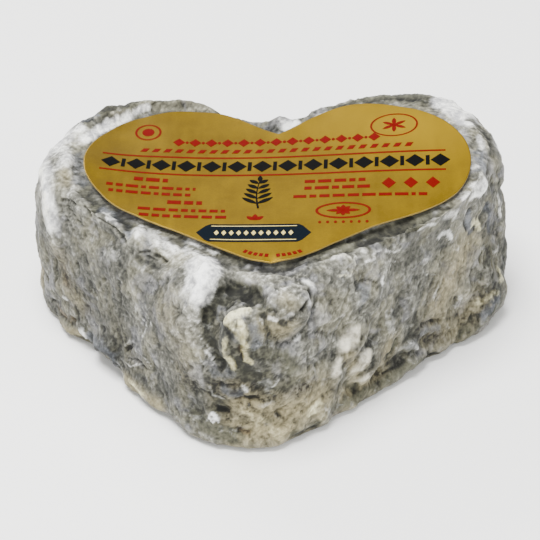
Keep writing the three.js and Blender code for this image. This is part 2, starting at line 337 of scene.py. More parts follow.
def make_camera():
    turn = math.radians(CAMERA_TURN)
    tilt = math.radians(CAMERA_TILT)
    level = math.cos(tilt)
    back = Vector((math.sin(turn) * level, -math.cos(turn) * level, math.sin(tilt)))
    camera = bpy.data.objects.new("camera", bpy.data.cameras.new("camera"))
    scene.collection.objects.link(camera)
    camera.data.sensor_width = SENSOR
    camera.data.lens = FOCAL_PIXELS * SENSOR / PHOTO_SIZE
    camera.data.clip_start = 0.01
    camera.location = Vector(CAMERA_PLACE) * MM
    camera.rotation_euler = back.to_track_quat("Z", "Y").to_euler()
    scene.camera = camera
    bpy.context.view_layer.update()
    return camera


def photo_ray(pixel):
    """The direction in which the camera sees a pixel of the photograph."""
    half = PHOTO_SIZE / 2
    across = Vector(((pixel[0] - half) / FOCAL_PIXELS, (half - pixel[1]) / FOCAL_PIXELS, -1))
    return (camera.matrix_world.to_3x3() @ across).normalized()


camera = make_camera()


# The label's shape.

def half_outline():
    """The right half of the label's edge, from the point to the notch."""
    reach = math.hypot(LOBE_X, LOBE_Y - TIP_Y)
    spread = math.acos((LOBE_RADIUS - TIP_RADIUS) / reach)
    flank = math.atan2(TIP_Y - LOBE_Y, -LOBE_X) + spread
    tip = np.linspace(-math.pi / 2, flank, 40)
    lobe = np.linspace(flank, math.pi / 2, 120)
    t = np.linspace(0, 1, 40)[1:, None]
    crest = np.array((LOBE_X, LOBE_Y + LOBE_RADIUS))
    valley = np.array((0, NOTCH_Y))
    crest_pull = crest * (1 - NOTCH_CREST, 1)
    valley_pull = valley + (crest - valley) * (NOTCH_STEEP, NOTCH_RISE)
    curve = (
        (1 - t) ** 3 * crest + 3 * (1 - t) ** 2 * t * crest_pull
        + 3 * (1 - t) * t ** 2 * valley_pull + t ** 3 * valley
    )
    return np.vstack([
        np.column_stack([TIP_RADIUS * np.cos(tip), TIP_Y + TIP_RADIUS * np.sin(tip)]),
        np.column_stack([LOBE_X + LOBE_RADIUS * np.cos(lobe), LOBE_Y + LOBE_RADIUS * np.sin(lobe)]),
        curve,
    ])


def label_outline(count):
    """Evenly spaced places along the label's edge, about the label's own middle."""
    right = half_outline()
    left = right[-2:0:-1] * (-1, 1)
    loop = np.vstack([right, left, right[:1]])
    along = np.concatenate([[0], np.cumsum(np.hypot(*np.diff(loop, axis=0).T))])
    stops = np.linspace(0, along[-1], count, endpoint=False)
    return np.column_stack([np.interp(stops, along, loop[:, k]) for k in (0, 1)])


def label_edge_distance(points):
    """How far places are from the label's edge in plan, in mm; below 0 inside it."""
    edge = label_outline(160) + (LABEL_X, LABEL_Y)
    x, y = points[:, 0], points[:, 1]
    inside = np.zeros(len(points), dtype=bool)
    nearest = np.full(len(points), np.inf)
    for (x0, y0), (x1, y1) in zip(edge, np.roll(edge, -1, axis=0)):
        if y0 != y1:
            at = (x1 - x0) * (y - y0) / (y1 - y0) + x0
            inside ^= ((y0 > y) != (y1 > y)) & (x < at)
        share = np.clip(((x - x0) * (x1 - x0) + (y - y0) * (y1 - y0))
                        / ((x1 - x0) ** 2 + (y1 - y0) ** 2), 0, 1)
        gap = np.hypot(x - x0 - share * (x1 - x0), y - y0 - share * (y1 - y0))
        nearest = np.minimum(nearest, gap)
    return np.where(inside, -nearest, nearest)


def paper_height(x, y):
    """The upper face of the paper over a place about the label's middle, before cockling."""
    u = x / LABEL_HALF_WIDTH
    v = y / LABEL_HALF_WIDTH
    sag = 1.6 * u * u + 1.3 * u * v - 1.7 * u ** 3 + 1.3 * u * u * v + 2.1 * u
    point = POINT_DROOP * smooth_step((-v - 0.4) / 0.35)
    corner = CORNER_DROOP * smooth_step((-u - 0.5) / 0.4) * smooth_step(v / 0.4)
    return LABEL_HEIGHT + sag - point - corner


# The rind. Its marks stand in tables by kind. A row holds a mark's half-width and how far it
# stands out, in mm, the strength of its tint, and then the two numbers of each place that it
# runs through. For the marks that the photograph shows, those are the x and y of a pixel.
SEEN_MARKS = {
    "hollow": [
        # The next three rows and the first mark of the row after paint the hollow in the nose dark:
        # partly the rind's own dark olive, partly painted shade under its overhang.
        (1.6, -0.6, 1, 262, 304, 255, 293, 242, 288, 226, 290, 213, 298, 208, 310),
        (1.25, -0.5, 0.9, 207, 306, 208, 326, 212, 341, 219, 355),
        (1.5, -0.3, 1, 216, 296, 209, 304, 207, 314), (1.2, -0.3, 1, 216, 304, 228, 301, 242, 299),
        (1, -0.3, 0.9, 227, 308, 237, 303, 249, 303), (1, -0.4, 0.8, 229, 345, 239, 352),
        (0.9, -0.2, 0.6, 260, 312, 266, 324, 268, 338),
        (2.2, -0.2, 0.9, 254, 350, 268, 354, 284, 358, 292, 366),
        (2.6, -0.2, 1, 238, 364, 249, 374, 262, 384),
        (1.6, -0.1, 0.7, 268, 386, 282, 388, 296, 382), (1, -0.1, 0.5, 262, 414, 270, 420),
        (1.9, -0.2, 1.2, 198, 418, 208, 426, 220, 432, 234, 436),
        (0.9, -0.2, 0.7, 258, 302, 264, 308, 270, 306), (1.2, 0, 0.8, 446, 345, 462, 337, 478, 327),
        (1.2, 0, 0.7, 340, 408, 360, 399, 380, 389, 400, 376),
        (1.1, -0.3, 1, 293, 436, 305, 431, 318, 424),
        (1.6, -0.2, 0.7, 214, 392, 222, 400, 218, 410),
        # The next five rows paint the shadow under the label's front edges.
        (1.1, -0.1, 0.7, 222, 253, 232, 258, 244, 264),
        (1.2, -0.2, 1.1, 300, 259, 320, 252, 345, 243, 362, 236),
        (1.2, -0.2, 0.8, 124, 218, 133, 228, 140, 233), (1.3, -0.5, 0.9, 84, 186, 89, 197, 96, 207),
        (1, -0.2, 0.8, 116, 217, 124, 222, 132, 226),
        (0.8, -0.1, 0.5, 200, 255, 212, 260, 226, 265),
        (2, 0.4, 1, 83, 124, 94, 117, 106, 111, 119, 107, 132, 104),
        (1.5, 0, 0.9, 92, 117, 104, 111, 116, 107), (1.1, 0, 0.3, 154, 106, 164, 103, 178, 103),
        (0.45, -0.4, 0.6, 55, 260, 56, 280), (1.1, -0.4, 0.8, 346, 384, 358, 388),
        (0.8, -0.4, 0.8, 318, 260, 336, 254, 354, 247),
        # The next three rows paint the shadow under the label's right front edge.
        (1.8, -0.2, 1.6, 366, 240, 380, 235, 394, 228, 410, 221, 426, 214),
        (1.3, -0.5, 0.95, 398, 233, 410, 229, 424, 221),
        (0.8, -0.3, 0.7, 424, 220, 438, 213, 450, 206),
        (1.1, -0.6, 0.9, 397, 340, 394, 350, 388, 358),
        (1.1, 0.1, 1, 330, 410, 345, 402, 365, 392, 388, 379, 408, 366, 424, 356),
        (1.1, 0, 1, 437, 350, 456, 343, 471, 334, 486, 320),
        (1.2, -0.3, 0.85, 457, 333, 468, 325, 474, 317), (1, 0, 0.9, 490, 314, 500, 298),
        (0.8, -0.4, 0.6, 484, 246, 480, 258),
        (2.2, -0.1, 1.1, 336, 108, 352, 104, 368, 101, 384, 99, 402, 97, 420, 98, 432, 101),
        (1, 0, 0.2, 82, 124, 88, 120, 97, 118),
    ],
    "dark": [
        # The first mark here paints the shade under the overhang of the hollow in the nose.
        (1.5, -0.3, 0.9, 226, 290, 238, 292, 251, 297), (0.9, -0.5, 0.8, 227, 329, 230, 337),
        (0.75, -0.7, 0.9, 309, 291, 311, 299), (0.45, -0.6, 0.8, 308, 301, 303, 309),
        (0.8, -0.5, 0.8, 262, 313, 265, 318), (0.4, -0.5, 0.7, 268, 310, 275, 311),
        (0.8, -0.4, 0.9, 281, 322, 286, 325), (0.45, -0.3, 0.8, 296, 296),
        (0.6, -0.4, 0.6, 221, 384, 230, 385), (0.8, -0.3, 0.5, 252, 386, 256, 391),
        (0.6, -0.4, 0.7, 246, 397, 258, 400), (0.75, -0.5, 0.9, 219, 408, 226, 411),
        (1, -0.1, 1, 414, 360, 424, 355, 432, 350), (0.85, -0.6, 0.9, 277, 412, 279, 416),
        (0.6, -0.2, 0.7, 296, 436, 306, 432, 316, 427), (0.5, -0.2, 0.5, 145, 231, 148, 242),
        (0.5, -0.3, 0.5, 160, 238, 163, 250), (0.4, -0.2, 0.4, 171, 243, 174, 252),
        (0.7, -0.3, 0.8, 180, 238, 183, 250),
        # The marks in the next four rows, all but the last one, paint the shadow under the label's
        # front edges.
        (1, -0.2, 0.9, 244, 262, 264, 266, 284, 264, 300, 258),
        (0.9, -0.3, 1.2, 350, 240, 366, 233, 380, 228), (1.1, -0.2, 1, 121, 218, 127, 228),
        (0.9, -0.3, 0.9, 170, 240, 181, 246), (0.8, -0.4, 0.7, 238, 267, 250, 270),
        (1.5, -0.5, 0.9, 266, 269, 280, 270, 294, 266), (0.4, -0.5, 0.6, 62, 199, 72, 202, 83, 207),
        (0.55, -0.6, 0.8, 84, 206, 90, 216), (0.4, -0.6, 0.7, 98, 218, 106, 222, 113, 228),
        (0.5, -0.7, 0.95, 112, 226, 119, 233, 125, 241),
        (0.25, -0.3, 0.5, 68, 206, 80, 222, 92, 236), (0.25, -0.3, 0.4, 62, 210, 72, 228, 82, 240),
        (0.4, -0.4, 0.4, 140, 252, 149, 251), (0.45, -0.6, 0.7, 154, 254, 160, 257, 166, 262),
        (0.3, -0.3, 0.3, 148, 257, 156, 260), (0.5, -0.4, 0.6, 37, 180, 40, 190),
        (1.1, -0.3, 1.1, 98, 113, 106, 110, 114, 109), (0.7, -0.3, 0.9, 88, 122, 92, 119),
        (0.5, -0.3, 0.8, 103, 117, 108, 116), (0.7, -0.3, 1, 121, 108, 127, 106),
        (0.8, -0.3, 1, 118, 107, 126, 103), (0.5, -0.3, 0.6, 84, 124, 92, 120),
        (0.9, -0.2, 0.7, 156, 101, 164, 99, 174, 99), (1.4, 0, 1, 94, 343, 104, 351, 113, 359),
        (0.4, -0.3, 0.4, 119, 281, 121, 306), (0.6, -0.4, 0.7, 51, 300, 60, 304),
        (0.7, -0.4, 0.7, 76, 308, 78, 318, 72, 324), (0.5, -0.4, 0.6, 60, 314, 66, 320),
        (0.5, -0.6, 0.9, 86, 337, 90, 342), (0.5, -0.6, 0.9, 117, 361, 120, 366),
        (0.5, -0.4, 0.8, 90, 341, 102, 352, 113, 362), (0.55, -0.5, 0.9, 126, 350, 133, 345),
        (0.4, -0.3, 0.6, 128, 358, 138, 360, 146, 370), (0.6, -0.2, 0.4, 192, 384, 195, 396),
        (0.35, -0.4, 0.5, 356, 290, 359, 283, 367, 279, 376, 282),
        (0.5, -0.3, 0.4, 354, 276, 356, 284),
        # The next two rows paint the deep shadow under the label's right front edge.
        (1.6, -0.3, 1.4, 362, 243, 378, 237, 392, 231, 404, 228),
        (1.3, -0.3, 2, 384, 231, 396, 226, 410, 219),
        (0.5, -0.6, 0.85, 421, 324, 430, 321, 440, 321),
        (0.5, -0.4, 0.7, 384, 373, 396, 366, 405, 361), (0.9, -0.6, 1, 424, 353, 431, 351),
        (0.6, -0.5, 0.6, 492, 262, 493, 276), (0.5, -0.3, 0.7, 504, 258, 505, 266),
        (0.6, -0.6, 0.7, 466, 216, 464, 224, 466, 229), (0.6, -0.5, 0.6, 468, 212, 474, 207),
        (1.1, -0.3, 0.75, 490, 163, 489, 170, 486, 177),
        (1.3, -0.3, 1, 472, 119, 479, 125, 485, 134), (0.8, -0.3, 0.5, 489, 143, 492, 156),
        (0.8, -0.2, 0.7, 386, 99, 402, 98, 418, 100), (0.9, -0.2, 0.8, 366, 101, 376, 99),
    ],
    "shade": [
        # The second mark here and the first in the next row paint shade into the hollow in the
        # nose, under its overhang.
        (1.4, 0, 0.5, 206, 306, 208, 328, 216, 350), (2, 0, 0.8, 222, 292, 250, 294),
        (2, 0, 0.9, 220, 302, 236, 300, 254, 302), (2.2, 0, 0.7, 270, 328, 286, 331),
        (4.8, 0, 1.2, 238, 350, 246, 372, 262, 392), (3.4, 0, 0.8, 222, 376, 232, 396, 250, 404),
        (2.2, 0, 0.6, 262, 302, 270, 314, 286, 318), (1.8, 0, 0.5, 282, 304, 298, 310),
        (2.6, 0, 0.5, 300, 306, 306, 318, 296, 330), (2.2, 0, 0.6, 306, 310, 300, 326),
        (0.7, -0.4, 0.9, 303, 309, 297, 317, 289, 322), (2.4, 0, 0.8, 222, 402, 230, 412, 228, 424),
        (2.4, 0, 0.8, 224, 398, 238, 410, 244, 418), (1.8, 0, 0.7, 260, 332, 262, 342, 268, 350),
        (2, 0, 0.6, 304, 308, 310, 322), (4.2, 0, 1.2, 226, 390, 256, 396, 284, 398, 300, 392),
        (4, 0, 0.7, 240, 420, 262, 426, 286, 420), (1.6, 0, 0.6, 240, 292, 246, 300),
        # The second mark here paints the shadow under the label's left front edge, and the first
        # mark of the next row the shadow beside its point.
        (2, -0.2, 0.5, 196, 392, 199, 408), (1.8, 0, 0.6, 88, 194, 104, 210, 126, 222),
        (2, 0, 0.6, 262, 270, 284, 270, 306, 262), (1.2, 0, 0.5, 140, 254, 164, 260),
        (1.2, -0.1, 0.5, 64, 172, 66, 184), (2.4, 0, 1.1, 83, 123, 104, 111, 130, 104),
        (1.6, 0, 0.3, 78, 156, 82, 178), (1.8, -0.1, 0.8, 156, 104, 172, 102, 192, 104),
        (1.5, -0.5, 0.1, 306, 110, 314, 108, 336, 102, 360, 96),
        (2.2, -0.7, 0.1, 36, 250, 40, 262, 43, 280), (2, -0.6, 0.1, 60, 141, 70, 133),
        (2, -0.6, 0.1, 500, 174, 501, 192), (1.5, 1, 0.1, 277, 121, 281, 120),
        (1.6, -0.5, 0.5, 98, 350, 108, 357), (7.5, 0, 0.6, 58, 256, 90, 296, 126, 346),
        (3, 0, 0.45, 92, 288, 110, 300, 118, 318), (1.8, 0, 0.6, 52, 306, 62, 318, 76, 328),
        (1.9, 0.6, 1.2, 96, 342, 106, 349, 116, 357), (2.4, 0, 0.5, 126, 362, 138, 376, 152, 390),
        (2.2, -0.2, 0.7, 184, 370, 193, 386, 196, 400), (2, -0.2, 0.4, 160, 376, 168, 390),
        (0.6, -0.3, 0.7, 364, 336, 362, 346, 352, 354), (0.6, -0.3, 0.7, 375, 358, 372, 368),
        # The second mark here paints the shadow under the label's right front edge.
        (0.7, -0.2, 0.4, 332, 352, 331, 358), (1.8, -0.2, 0.7, 366, 242, 390, 238, 416, 230),
        (3.4, 0, 0.35, 412, 252, 408, 280, 400, 312), (3.2, 0, 0.8, 376, 366, 394, 364, 414, 350),
        (3.2, 0, 1.1, 414, 334, 440, 332, 466, 324, 484, 310),
        (1.6, 0, 0.8, 336, 404, 360, 392, 384, 378),
        (1.8, 1.2, 0.6, 410, 360, 424, 352, 440, 344, 458, 336, 468, 331),
        (1.4, 0.8, 0.4, 452, 341, 462, 337), (3.2, 0, 1, 488, 196, 490, 240, 492, 284, 494, 304),
        (2.4, 0, 0.3, 452, 206, 448, 226), (1.3, 0, 0.4, 468, 129, 471, 138, 472, 148),
        (1.8, 0, 0.8, 482, 132, 490, 146, 496, 160),
        (2, 0, 0.8, 336, 107, 366, 101, 400, 97, 432, 100),
    ],
    "pale": [
        (2.2, 0.4, 0.15, 276, 298, 284, 295, 296, 297), (2.4, 0, 0.7, 346, 304, 358, 316),
        (1.6, 0, 0.6, 346, 378, 358, 386), (1.2, 0.1, 0.6, 256, 282, 262, 290),
        (2, 0, 0.6, 466, 306, 478, 314), (2.6, 0.2, 0.4, 298, 350, 303, 362, 300, 372),
        (3.2, 0.2, 0.8, 196, 258, 198, 278, 190, 296), (1.6, 0.2, 0.6, 228, 272, 245, 274),
        (2, 0.2, 0.5, 196, 310, 193, 330), (2.6, 0.2, 0.8, 136, 232, 156, 242, 180, 258),
        (1.4, 0.3, 0.6, 118, 226, 130, 238), (2.8, 0.2, 0.8, 48, 160, 50, 195, 54, 228),
        (1.5, 0.4, 0.8, 53, 230, 55, 242), (2.2, 0.1, 0.9, 78, 142, 72, 150, 80, 132),
        (1.1, 0, 0.9, 112, 127, 130, 119, 150, 113, 164, 110),
        (2.8, 0.2, 1.1, 62, 140, 74, 136, 56, 152, 66, 162), (1.4, 0.2, 0.6, 70, 190, 66, 196),
        (1, 0.2, 0.8, 165, 111, 198, 113), (1.4, 0, 1, 192, 106, 208, 110),
        (1.2, 0.2, 0.5, 132, 286, 136, 294), (2.4, 0.3, 0.5, 329, 344, 336, 352, 327, 364),
        (2.6, 0.3, 0.4, 322, 312, 334, 316), (2.6, 0.2, 0.9, 342, 264, 344, 268),
        (2.4, 0.2, 0.9, 366, 261, 384, 261, 402, 256),
        (2.4, 0.2, 0.9, 326, 262, 344, 258, 358, 256), (3, 0, 0.5, 316, 278, 330, 282, 346, 280),
        (2.2, 0.1, 0.8, 248, 278, 262, 280), (4.4, 0, 0.5, 384, 272, 400, 276, 424, 262),
        (1.6, 0.3, 0.4, 444, 330, 452, 326), (2.4, 0.1, 1.2, 446, 112, 458, 120),
        (1.2, 0.2, 0.6, 482, 138, 486, 149),
    ],
    "warm": [
        (2.6, 0, 0.9, 268, 328, 288, 331), (1.6, 0, 0.5, 284, 300, 292, 305),
        (5.4, 0, 1.2, 240, 400, 262, 414, 296, 408, 316, 400),
        (4.2, 0, 1.2, 240, 428, 266, 430, 288, 428), (1.5, 0, 0.6, 64, 172, 66, 182),
        (3.4, 0, 0.55, 58, 256, 66, 280, 80, 300), (4.2, 0, 0.35, 165, 316, 180, 345, 184, 372),
        (1.2, 0.1, 1, 60, 322, 70, 331, 80, 333), (1.8, 0, 1, 126, 378, 144, 396, 160, 406),
        (2.2, 0.1, 0.8, 350, 356, 356, 372), (5.6, 0, 0.75, 466, 246, 452, 276, 440, 308),
        (3.6, 0, 1, 388, 350, 372, 376, 346, 396), (4.2, 0, 0.7, 430, 330, 452, 330, 478, 306),
        (1.2, 0.5, 0.2, 125, 384, 131, 391),
    ],
    "beige": [
        (3.4, 0, 0.5, 462, 252, 450, 280, 438, 306),
    ],
    "brown": [
        (0.8, -0.4, 0.8, 239, 346, 242, 355), (0.9, -0.3, 0.7, 240, 430, 249, 434),
        (1.6, -0.1, 0.5, 63, 266, 68, 284), (1.2, -0.2, 0.6, 58, 308, 66, 318, 74, 322),
        (0.35, -0.2, 0.8, 477, 179, 479, 183),
    ],
    "slate": [
        (0.5, 0.1, 0.5, 219, 307, 218, 318, 222, 328), (0.8, 0, 0.5, 235, 330, 236, 340),
        (1.5, 0.1, 0.6, 253, 328, 258, 336, 254, 344),
        (1.3, 0.3, 0.5, 212, 371, 224, 376, 232, 372),
        (1.4, 0.3, 0.75, 226, 388, 234, 396, 241, 393), (1.4, 0, 0.8, 482, 318, 490, 308, 497, 298),
        (0.7, -0.2, 0.6, 184, 240, 187, 256), (1, -0.1, 0.7, 126, 226, 130, 236),
        # The second mark here paints the lilac-grey shadow under the label's left front edge.
        (0.9, -0.3, 0.5, 128, 224, 127, 236), (1.1, -0.3, 0.8, 101, 208, 109, 214, 118, 219),
        (0.8, -0.3, 0.5, 146, 232, 148, 244), (0.7, -0.3, 0.5, 165, 238, 165, 248),
        (1, 0, 0.8, 86, 122, 96, 117), (1.6, -0.2, 0.6, 77, 154, 78, 168, 83, 182),
        (1.9, 0.2, 0.8, 92, 336, 104, 346, 114, 356), (0.8, 0.5, 0.6, 89, 333, 94, 338),
        (1.9, 0.2, 0.95, 95, 341, 106, 349, 116, 358), (1.8, 0.3, 0.55, 364, 288, 363, 300),
        (1.2, 0.4, 0.6, 421, 331, 430, 331, 438, 328), (1.1, 0.5, 0.5, 404, 346, 414, 343),
        (1.2, -0.2, 0.8, 487, 208, 489, 220, 490, 232), (1.5, 0, 0.9, 468, 219, 470, 232),
        (1.4, -0.2, 0.7, 480, 150, 484, 172),
    ],
    "cloud": [
        (1, 0.1, 0.5, 305, 282, 312, 287), (0.5, 0.2, 0.5, 269, 318, 277, 320),
        (2.3, 0.4, 1, 208, 262, 210, 272, 205, 284, 199, 297),
        (1.9, 0.2, 0.8, 193, 264, 194, 274, 190, 286),
        (1.9, 0.2, 0.5, 140, 232, 156, 240, 176, 252),
        (2.2, 0.4, 0.8, 46, 158, 48, 176, 49, 194, 52, 222),
        (2, 0.1, 0.5, 60, 150, 68, 160, 62, 164),
        (1.3, 0, 0.85, 84, 139, 97, 131, 111, 124, 128, 117),
        (0.9, 0.1, 0.8, 134, 113, 142, 109, 148, 107), (2.2, 0.1, 0.6, 50, 156, 58, 148, 70, 140),
        (1.2, 0, 0.8, 286, 125, 296, 121), (1.2, 0, 0.75, 474, 187, 479, 186, 484, 182),
        (0.8, 0.2, 0.6, 470, 168, 477, 166), (1.4, 0, 0.45, 446, 216, 456, 213),
        (2.8, 0.1, 1.4, 444, 102, 454, 108, 466, 119), (1.6, 0, 0.9, 458, 116, 466, 123),
        (0.9, 0.1, 0.55, 479, 137, 482, 148), (0.8, 0.1, 0.7, 318, 117, 334, 111),
        (1.5, 0, 0.9, 64, 138, 72, 131, 80, 130),
    ],
    "white": [
        (0.35, 0.3, 0.5, 196, 320, 200, 336, 207, 351, 214, 363),
        (0.25, 0.2, 0.4, 202, 330, 208, 346, 216, 359),
        (0.3, 0.2, 0.3, 262, 322, 265, 332, 261, 341),
        (0.4, 0.3, 0.5, 209, 385, 214, 396, 224, 398), (0.5, 0.3, 0.6, 243, 385, 247, 391),
        (0.42, 0.4, 0.9, 213, 414, 216, 416, 219, 421), (0.35, 0.3, 0.8, 210, 417, 214, 421),
        (0.3, 0.2, 0.4, 264, 391, 273, 387, 278, 379), (0.7, 0.3, 0.5, 296, 338, 299, 334),
        (1.2, 0.3, 0.8, 204, 266, 204, 282, 198, 296), (1.2, 0.2, 0.5, 190, 250, 198, 256),
        (0.9, 0.2, 0.7, 190, 240, 204, 247, 216, 253), (0.9, 0.3, 0.5, 141, 226, 140, 236),
        (1, 0.3, 0.55, 156, 232, 158, 246), (0.9, 0.3, 0.5, 171, 243, 173, 252),
        (0.9, 0.3, 0.5, 186, 246, 188, 256), (0.9, 0.4, 0.7, 106, 214, 113, 220),
        (1.2, 0.2, 0.5, 45, 168, 48, 188, 51, 208), (0.5, 0.3, 0.7, 64, 297, 67, 299),
        (0.35, 0.2, 0.4, 141, 316, 147, 326, 142, 338), (0.3, 0.2, 0.35, 146, 312, 152, 326),
        (0.9, 0.5, 0.7, 82, 329, 88, 334), (0.25, 0.2, 0.35, 124, 346, 131, 340, 138, 344),
        (0.3, 0.2, 0.5, 122, 358, 132, 366, 142, 364),
        (0.3, 0.2, 0.4, 138, 350, 146, 358, 152, 368), (0.45, 0.2, 0.8, 381, 278, 382, 284),
        (0.4, 0.3, 0.5, 370, 254, 380, 250), (0.35, 0.3, 0.45, 386, 251, 394, 252, 402, 248),
        (0.5, 0.3, 0.5, 364, 262, 372, 258), (0.4, 0.3, 0.4, 380, 262, 396, 261),
        (0.7, 0.3, 0.6, 420, 230, 426, 226, 434, 224),
        (0.8, 0.4, 0.9, 439, 237, 444, 232, 450, 237), (0.5, 0.4, 0.5, 406, 341, 414, 346),
        (0.4, 0.2, 0.4, 438, 284, 434, 298), (0.7, 0.3, 0.5, 493, 252, 498, 247),
        (0.5, 0.2, 0.6, 498, 196, 500, 216), (1.3, 0.5, 0.95, 473, 195, 482, 192, 485, 183),
        (1, 0.3, 0.6, 462, 200, 468, 195),
    ],
    "cream": [
        (1.05, 0.6, 1, 229, 321, 240, 316, 249, 311), (0.6, 0.3, 0.5, 226, 323, 229, 329),
        (0.8, 0.3, 0.6, 225, 340, 226, 353), (0.8, 0.4, 0.85, 227, 355, 234, 366),
        (1, 0.3, 0.8, 241, 322, 243, 334, 245, 347), (0.7, 0.4, 0.85, 243, 352, 247, 359, 252, 362),
        (0.8, 0.1, 0.5, 233, 324, 237, 336), (1.6, 0.2, 0.3, 240, 408, 250, 414, 258, 421),
        (1.2, 0.2, 0.3, 270, 432, 280, 433, 290, 425), (1.3, 0.3, 0.6, 310, 412, 320, 404),
        (1.3, 0.2, 0.35, 46, 170, 47, 190, 50, 212), (0.9, 0.2, 0.6, 130, 380, 138, 389, 144, 394),
        (0.4, 0.2, 0.35, 334, 258, 346, 257, 354, 265, 350, 275, 338, 276),
        (1.1, 0.4, 0.4, 478, 302, 488, 297, 496, 292),
        (0.8, 0.4, 0.6, 498, 269, 500, 277, 497, 283), (1, 0.5, 0.7, 470, 224, 476, 219, 478, 228),
    ],
    "grain": [
        (0.7, 0.3, 0.5, 96, 119), (0.8, 0.3, 0.5, 112, 113), (2.2, 0.7, 0.6, 352, 330, 342, 344),
        (1.2, 0, 0.85, 357, 329, 357, 337, 351, 345, 344, 348), (2.1, 0.7, 0.5, 363, 356, 354, 368),
        (1.1, 0, 0.8, 368, 352, 368, 361, 362, 369), (1.6, 0.5, 0.65, 338, 361, 335, 373),
        (1.1, 0.4, 0.6, 360, 379, 366, 377),
    ],
}

# On the sides that the photograph doesn't show they are a bearing, in degrees from the right
# lobe towards the back, and a height in mm.
HIDDEN_MARKS = {
    "hollow": [
        (1.3, -0.4, 0.6, 27, 24, 28, 17), (1.4, -0.2, 0.9, 30, 3, 38, 2, 46, 2),
        (1.1, -0.4, 0.6, 61, 19, 63, 13), (1.4, -0.5, 0.8, 74, 29, 77, 24),
        (2, -0.3, 0.7, 75, 10, 80, 6), (1.3, -0.5, 0.8, 89, 28, 90, 21),
        (1.8, -0.4, 0.8, 91, 13, 92, 4), (1.4, -0.4, 0.6, 113, 20, 118, 17),
        (1.1, -0.4, 0.6, 150, 25, 151, 18), (1.4, -0.3, 0.9, 132, 3, 145, 3),
        (1.2, -0.2, 0.8, 158, 2, 172, 2),
    ],
    "dark": [
        (0.6, -0.5, 0.7, 176, 10, -176, 7),
    ],
    "shade": [
        (4, 0, 0.6, 8, 20, 16, 8), (4, 0, 0.7, 52, 14, 60, 10),
        (3, -0.2, 0.9, 86, 26, 90, 14, 92, 4), (3.4, 0, 0.6, 112, 16, 122, 12),
        (4, 0, 0.6, 144, 18, 150, 8),
    ],
    "pale": [
        (4, 0.2, 0.8, 16, 28, 26, 26, 34, 29), (3, 0.2, 0.8, 46, 27, 54, 25),
        (3.4, 0.1, 0.7, 64, 24, 74, 22), (3.2, 0.2, 0.9, 101, 27, 110, 25),
        (3.2, 0.3, 0.8, 130, 23, 137, 19), (3.6, 0.2, 0.8, 156, 22, 162, 14),
    ],
    "warm": [
        (4.5, 0, 0.7, 20, 20, 24, 8), (2.5, 0, 0.8, 28, 4, 50, 4), (3.4, 0, 0.8, 95, 18, 98, 6),
        (3.6, 0, 0.7, 168, 14, 172, 6), (2.4, 0, 0.8, 130, 4, 150, 4),
    ],
    "beige": [
        (2.6, 0, 0.5, 21, 18, 24, 9), (2.2, 0, 0.5, 169, 12, 172, 7),
    ],
    "brown": [
        (1.2, -0.2, 0.8, 96, 3, 104, 2),
    ],
    "slate": [
        (1.8, 0.2, 0.6, 33, 22, 37, 15), (1.8, 0.2, 0.6, 55, 16, 58, 11),
        (2, 0.2, 0.7, 141, 14, 146, 8),
    ],
    "cloud": [
        (2.2, 0.2, 0.8, 18, 31, 28, 30), (2, 0.2, 0.7, 66, 27, 72, 25),
        (1.8, 0.2, 0.8, 103, 29, 109, 28), (2.2, 0.2, 0.8, 152, 30, 164, 30),
    ],
    "white": [
        (1.2, 0.3, 0.7, 44, 29, 50, 28), (0.6, 0.2, 0.6, 55, 24, 56, 20),
        (1, 0.2, 0.6, 86, 31, 94, 31), (1, 0.3, 0.7, 158, 22, 160, 17),
    ],
    "cream": [
        (1.1, 0.4, 0.6, 70, 12, 73, 9), (1.2, 0.4, 0.6, 132, 24, 135, 21),
    ],
    "grain": [
        (1.4, 0.6, 0.6, 38, 12, 39, 9), (1, 0.5, 0.6, 42, 8), (1.2, 0.6, 0.6, 121, 11),
        (1, 0.5, 0.6, 126, 7, 127, 9),
    ],
}

# For each kind of mark: how sharply it ends, how much wider than its half-width it reaches,
# how far it smooths the fine relief, and how ragged it is.
KINDS = {
    "hollow": (0.95, 1.5, 0.5, 1),
    "dark": (1.25, 1.15, 0, 1),
    "shade": (0.9, 1.5, 0, 0.3),
    "pale": (0.9, 1.5, 0, 0.3),
    "warm": (0.9, 1.5, 0.2, 0.3),
    "beige": (1, 1.4, 0.35, 1),
    "brown": (1.1, 1.2, 0, 1),
    "slate": (1.2, 1.3, 0.55, 1),
    "cloud": (1, 1.5, 0.6, 0.3),
    "white": (0.95, 1.45, 0.3, 1),
    "cream": (1, 1.25, 0.45, 1),
    "grain": (1.1, 1.1, 0.85, 0.3),
}
RAGGEDNESS = 0.25
WOBBLE = 0.4
MOST_WOBBLE = 0.8

# The fine relief of the rind, in mm, and how far its streaks lean with height.
LEAN = 0.5
FOLD_SIZE = 2.0
FOLD_DEPTH = 0.26
STREAK_DEPTH = 0.13
GRAIN_DEPTH = 0.12
LUMP_DEPTH = 0.42
BLISTER_DEPTH = 0.22
PIT_DEPTH = 0.3

# By bearing: how strongly the rind is combed into streaks, how far its folds give way to
# grain, most on the two walls that meet at the point, and how far the rim beside the notch
# sinks, in mm.
STREAKED = [
    (-180, 0.8), (-150, 0.6), (-122, 0.6), (-106, 0.15), (-70, 0.1), (-42, 0.25), (-30, 0.6),
    (-8, 0.65), (6, 0.55), (24, 0.3), (40, 0.4), (75, 0.3), (105, 0.8), (140, 0.4), (180, 0.8),
]
GRAINY = [
    (-180, 0.4), (-150, 0.5), (-122, 0.5), (-106, 0.1), (-85, 0.0), (-72, 0.5), (-30, 0.6),
    (-8, 0.4), (12, 0.0), (150, 0.0), (180, 0.4),
]
SUNK_RIM = [(70, 0.0), (80, 0.5), (87, 0.3), (93, 0.7), (112, 0.8), (119, 0.0)]
# Heights in mm: under the label nothing stands out above the first; above the second the
# rim may fold over, and above the third it sinks beside the notch.
TOP_EDGE = 27
FOLDED_RIM = 22
SUNK_FROM = 23


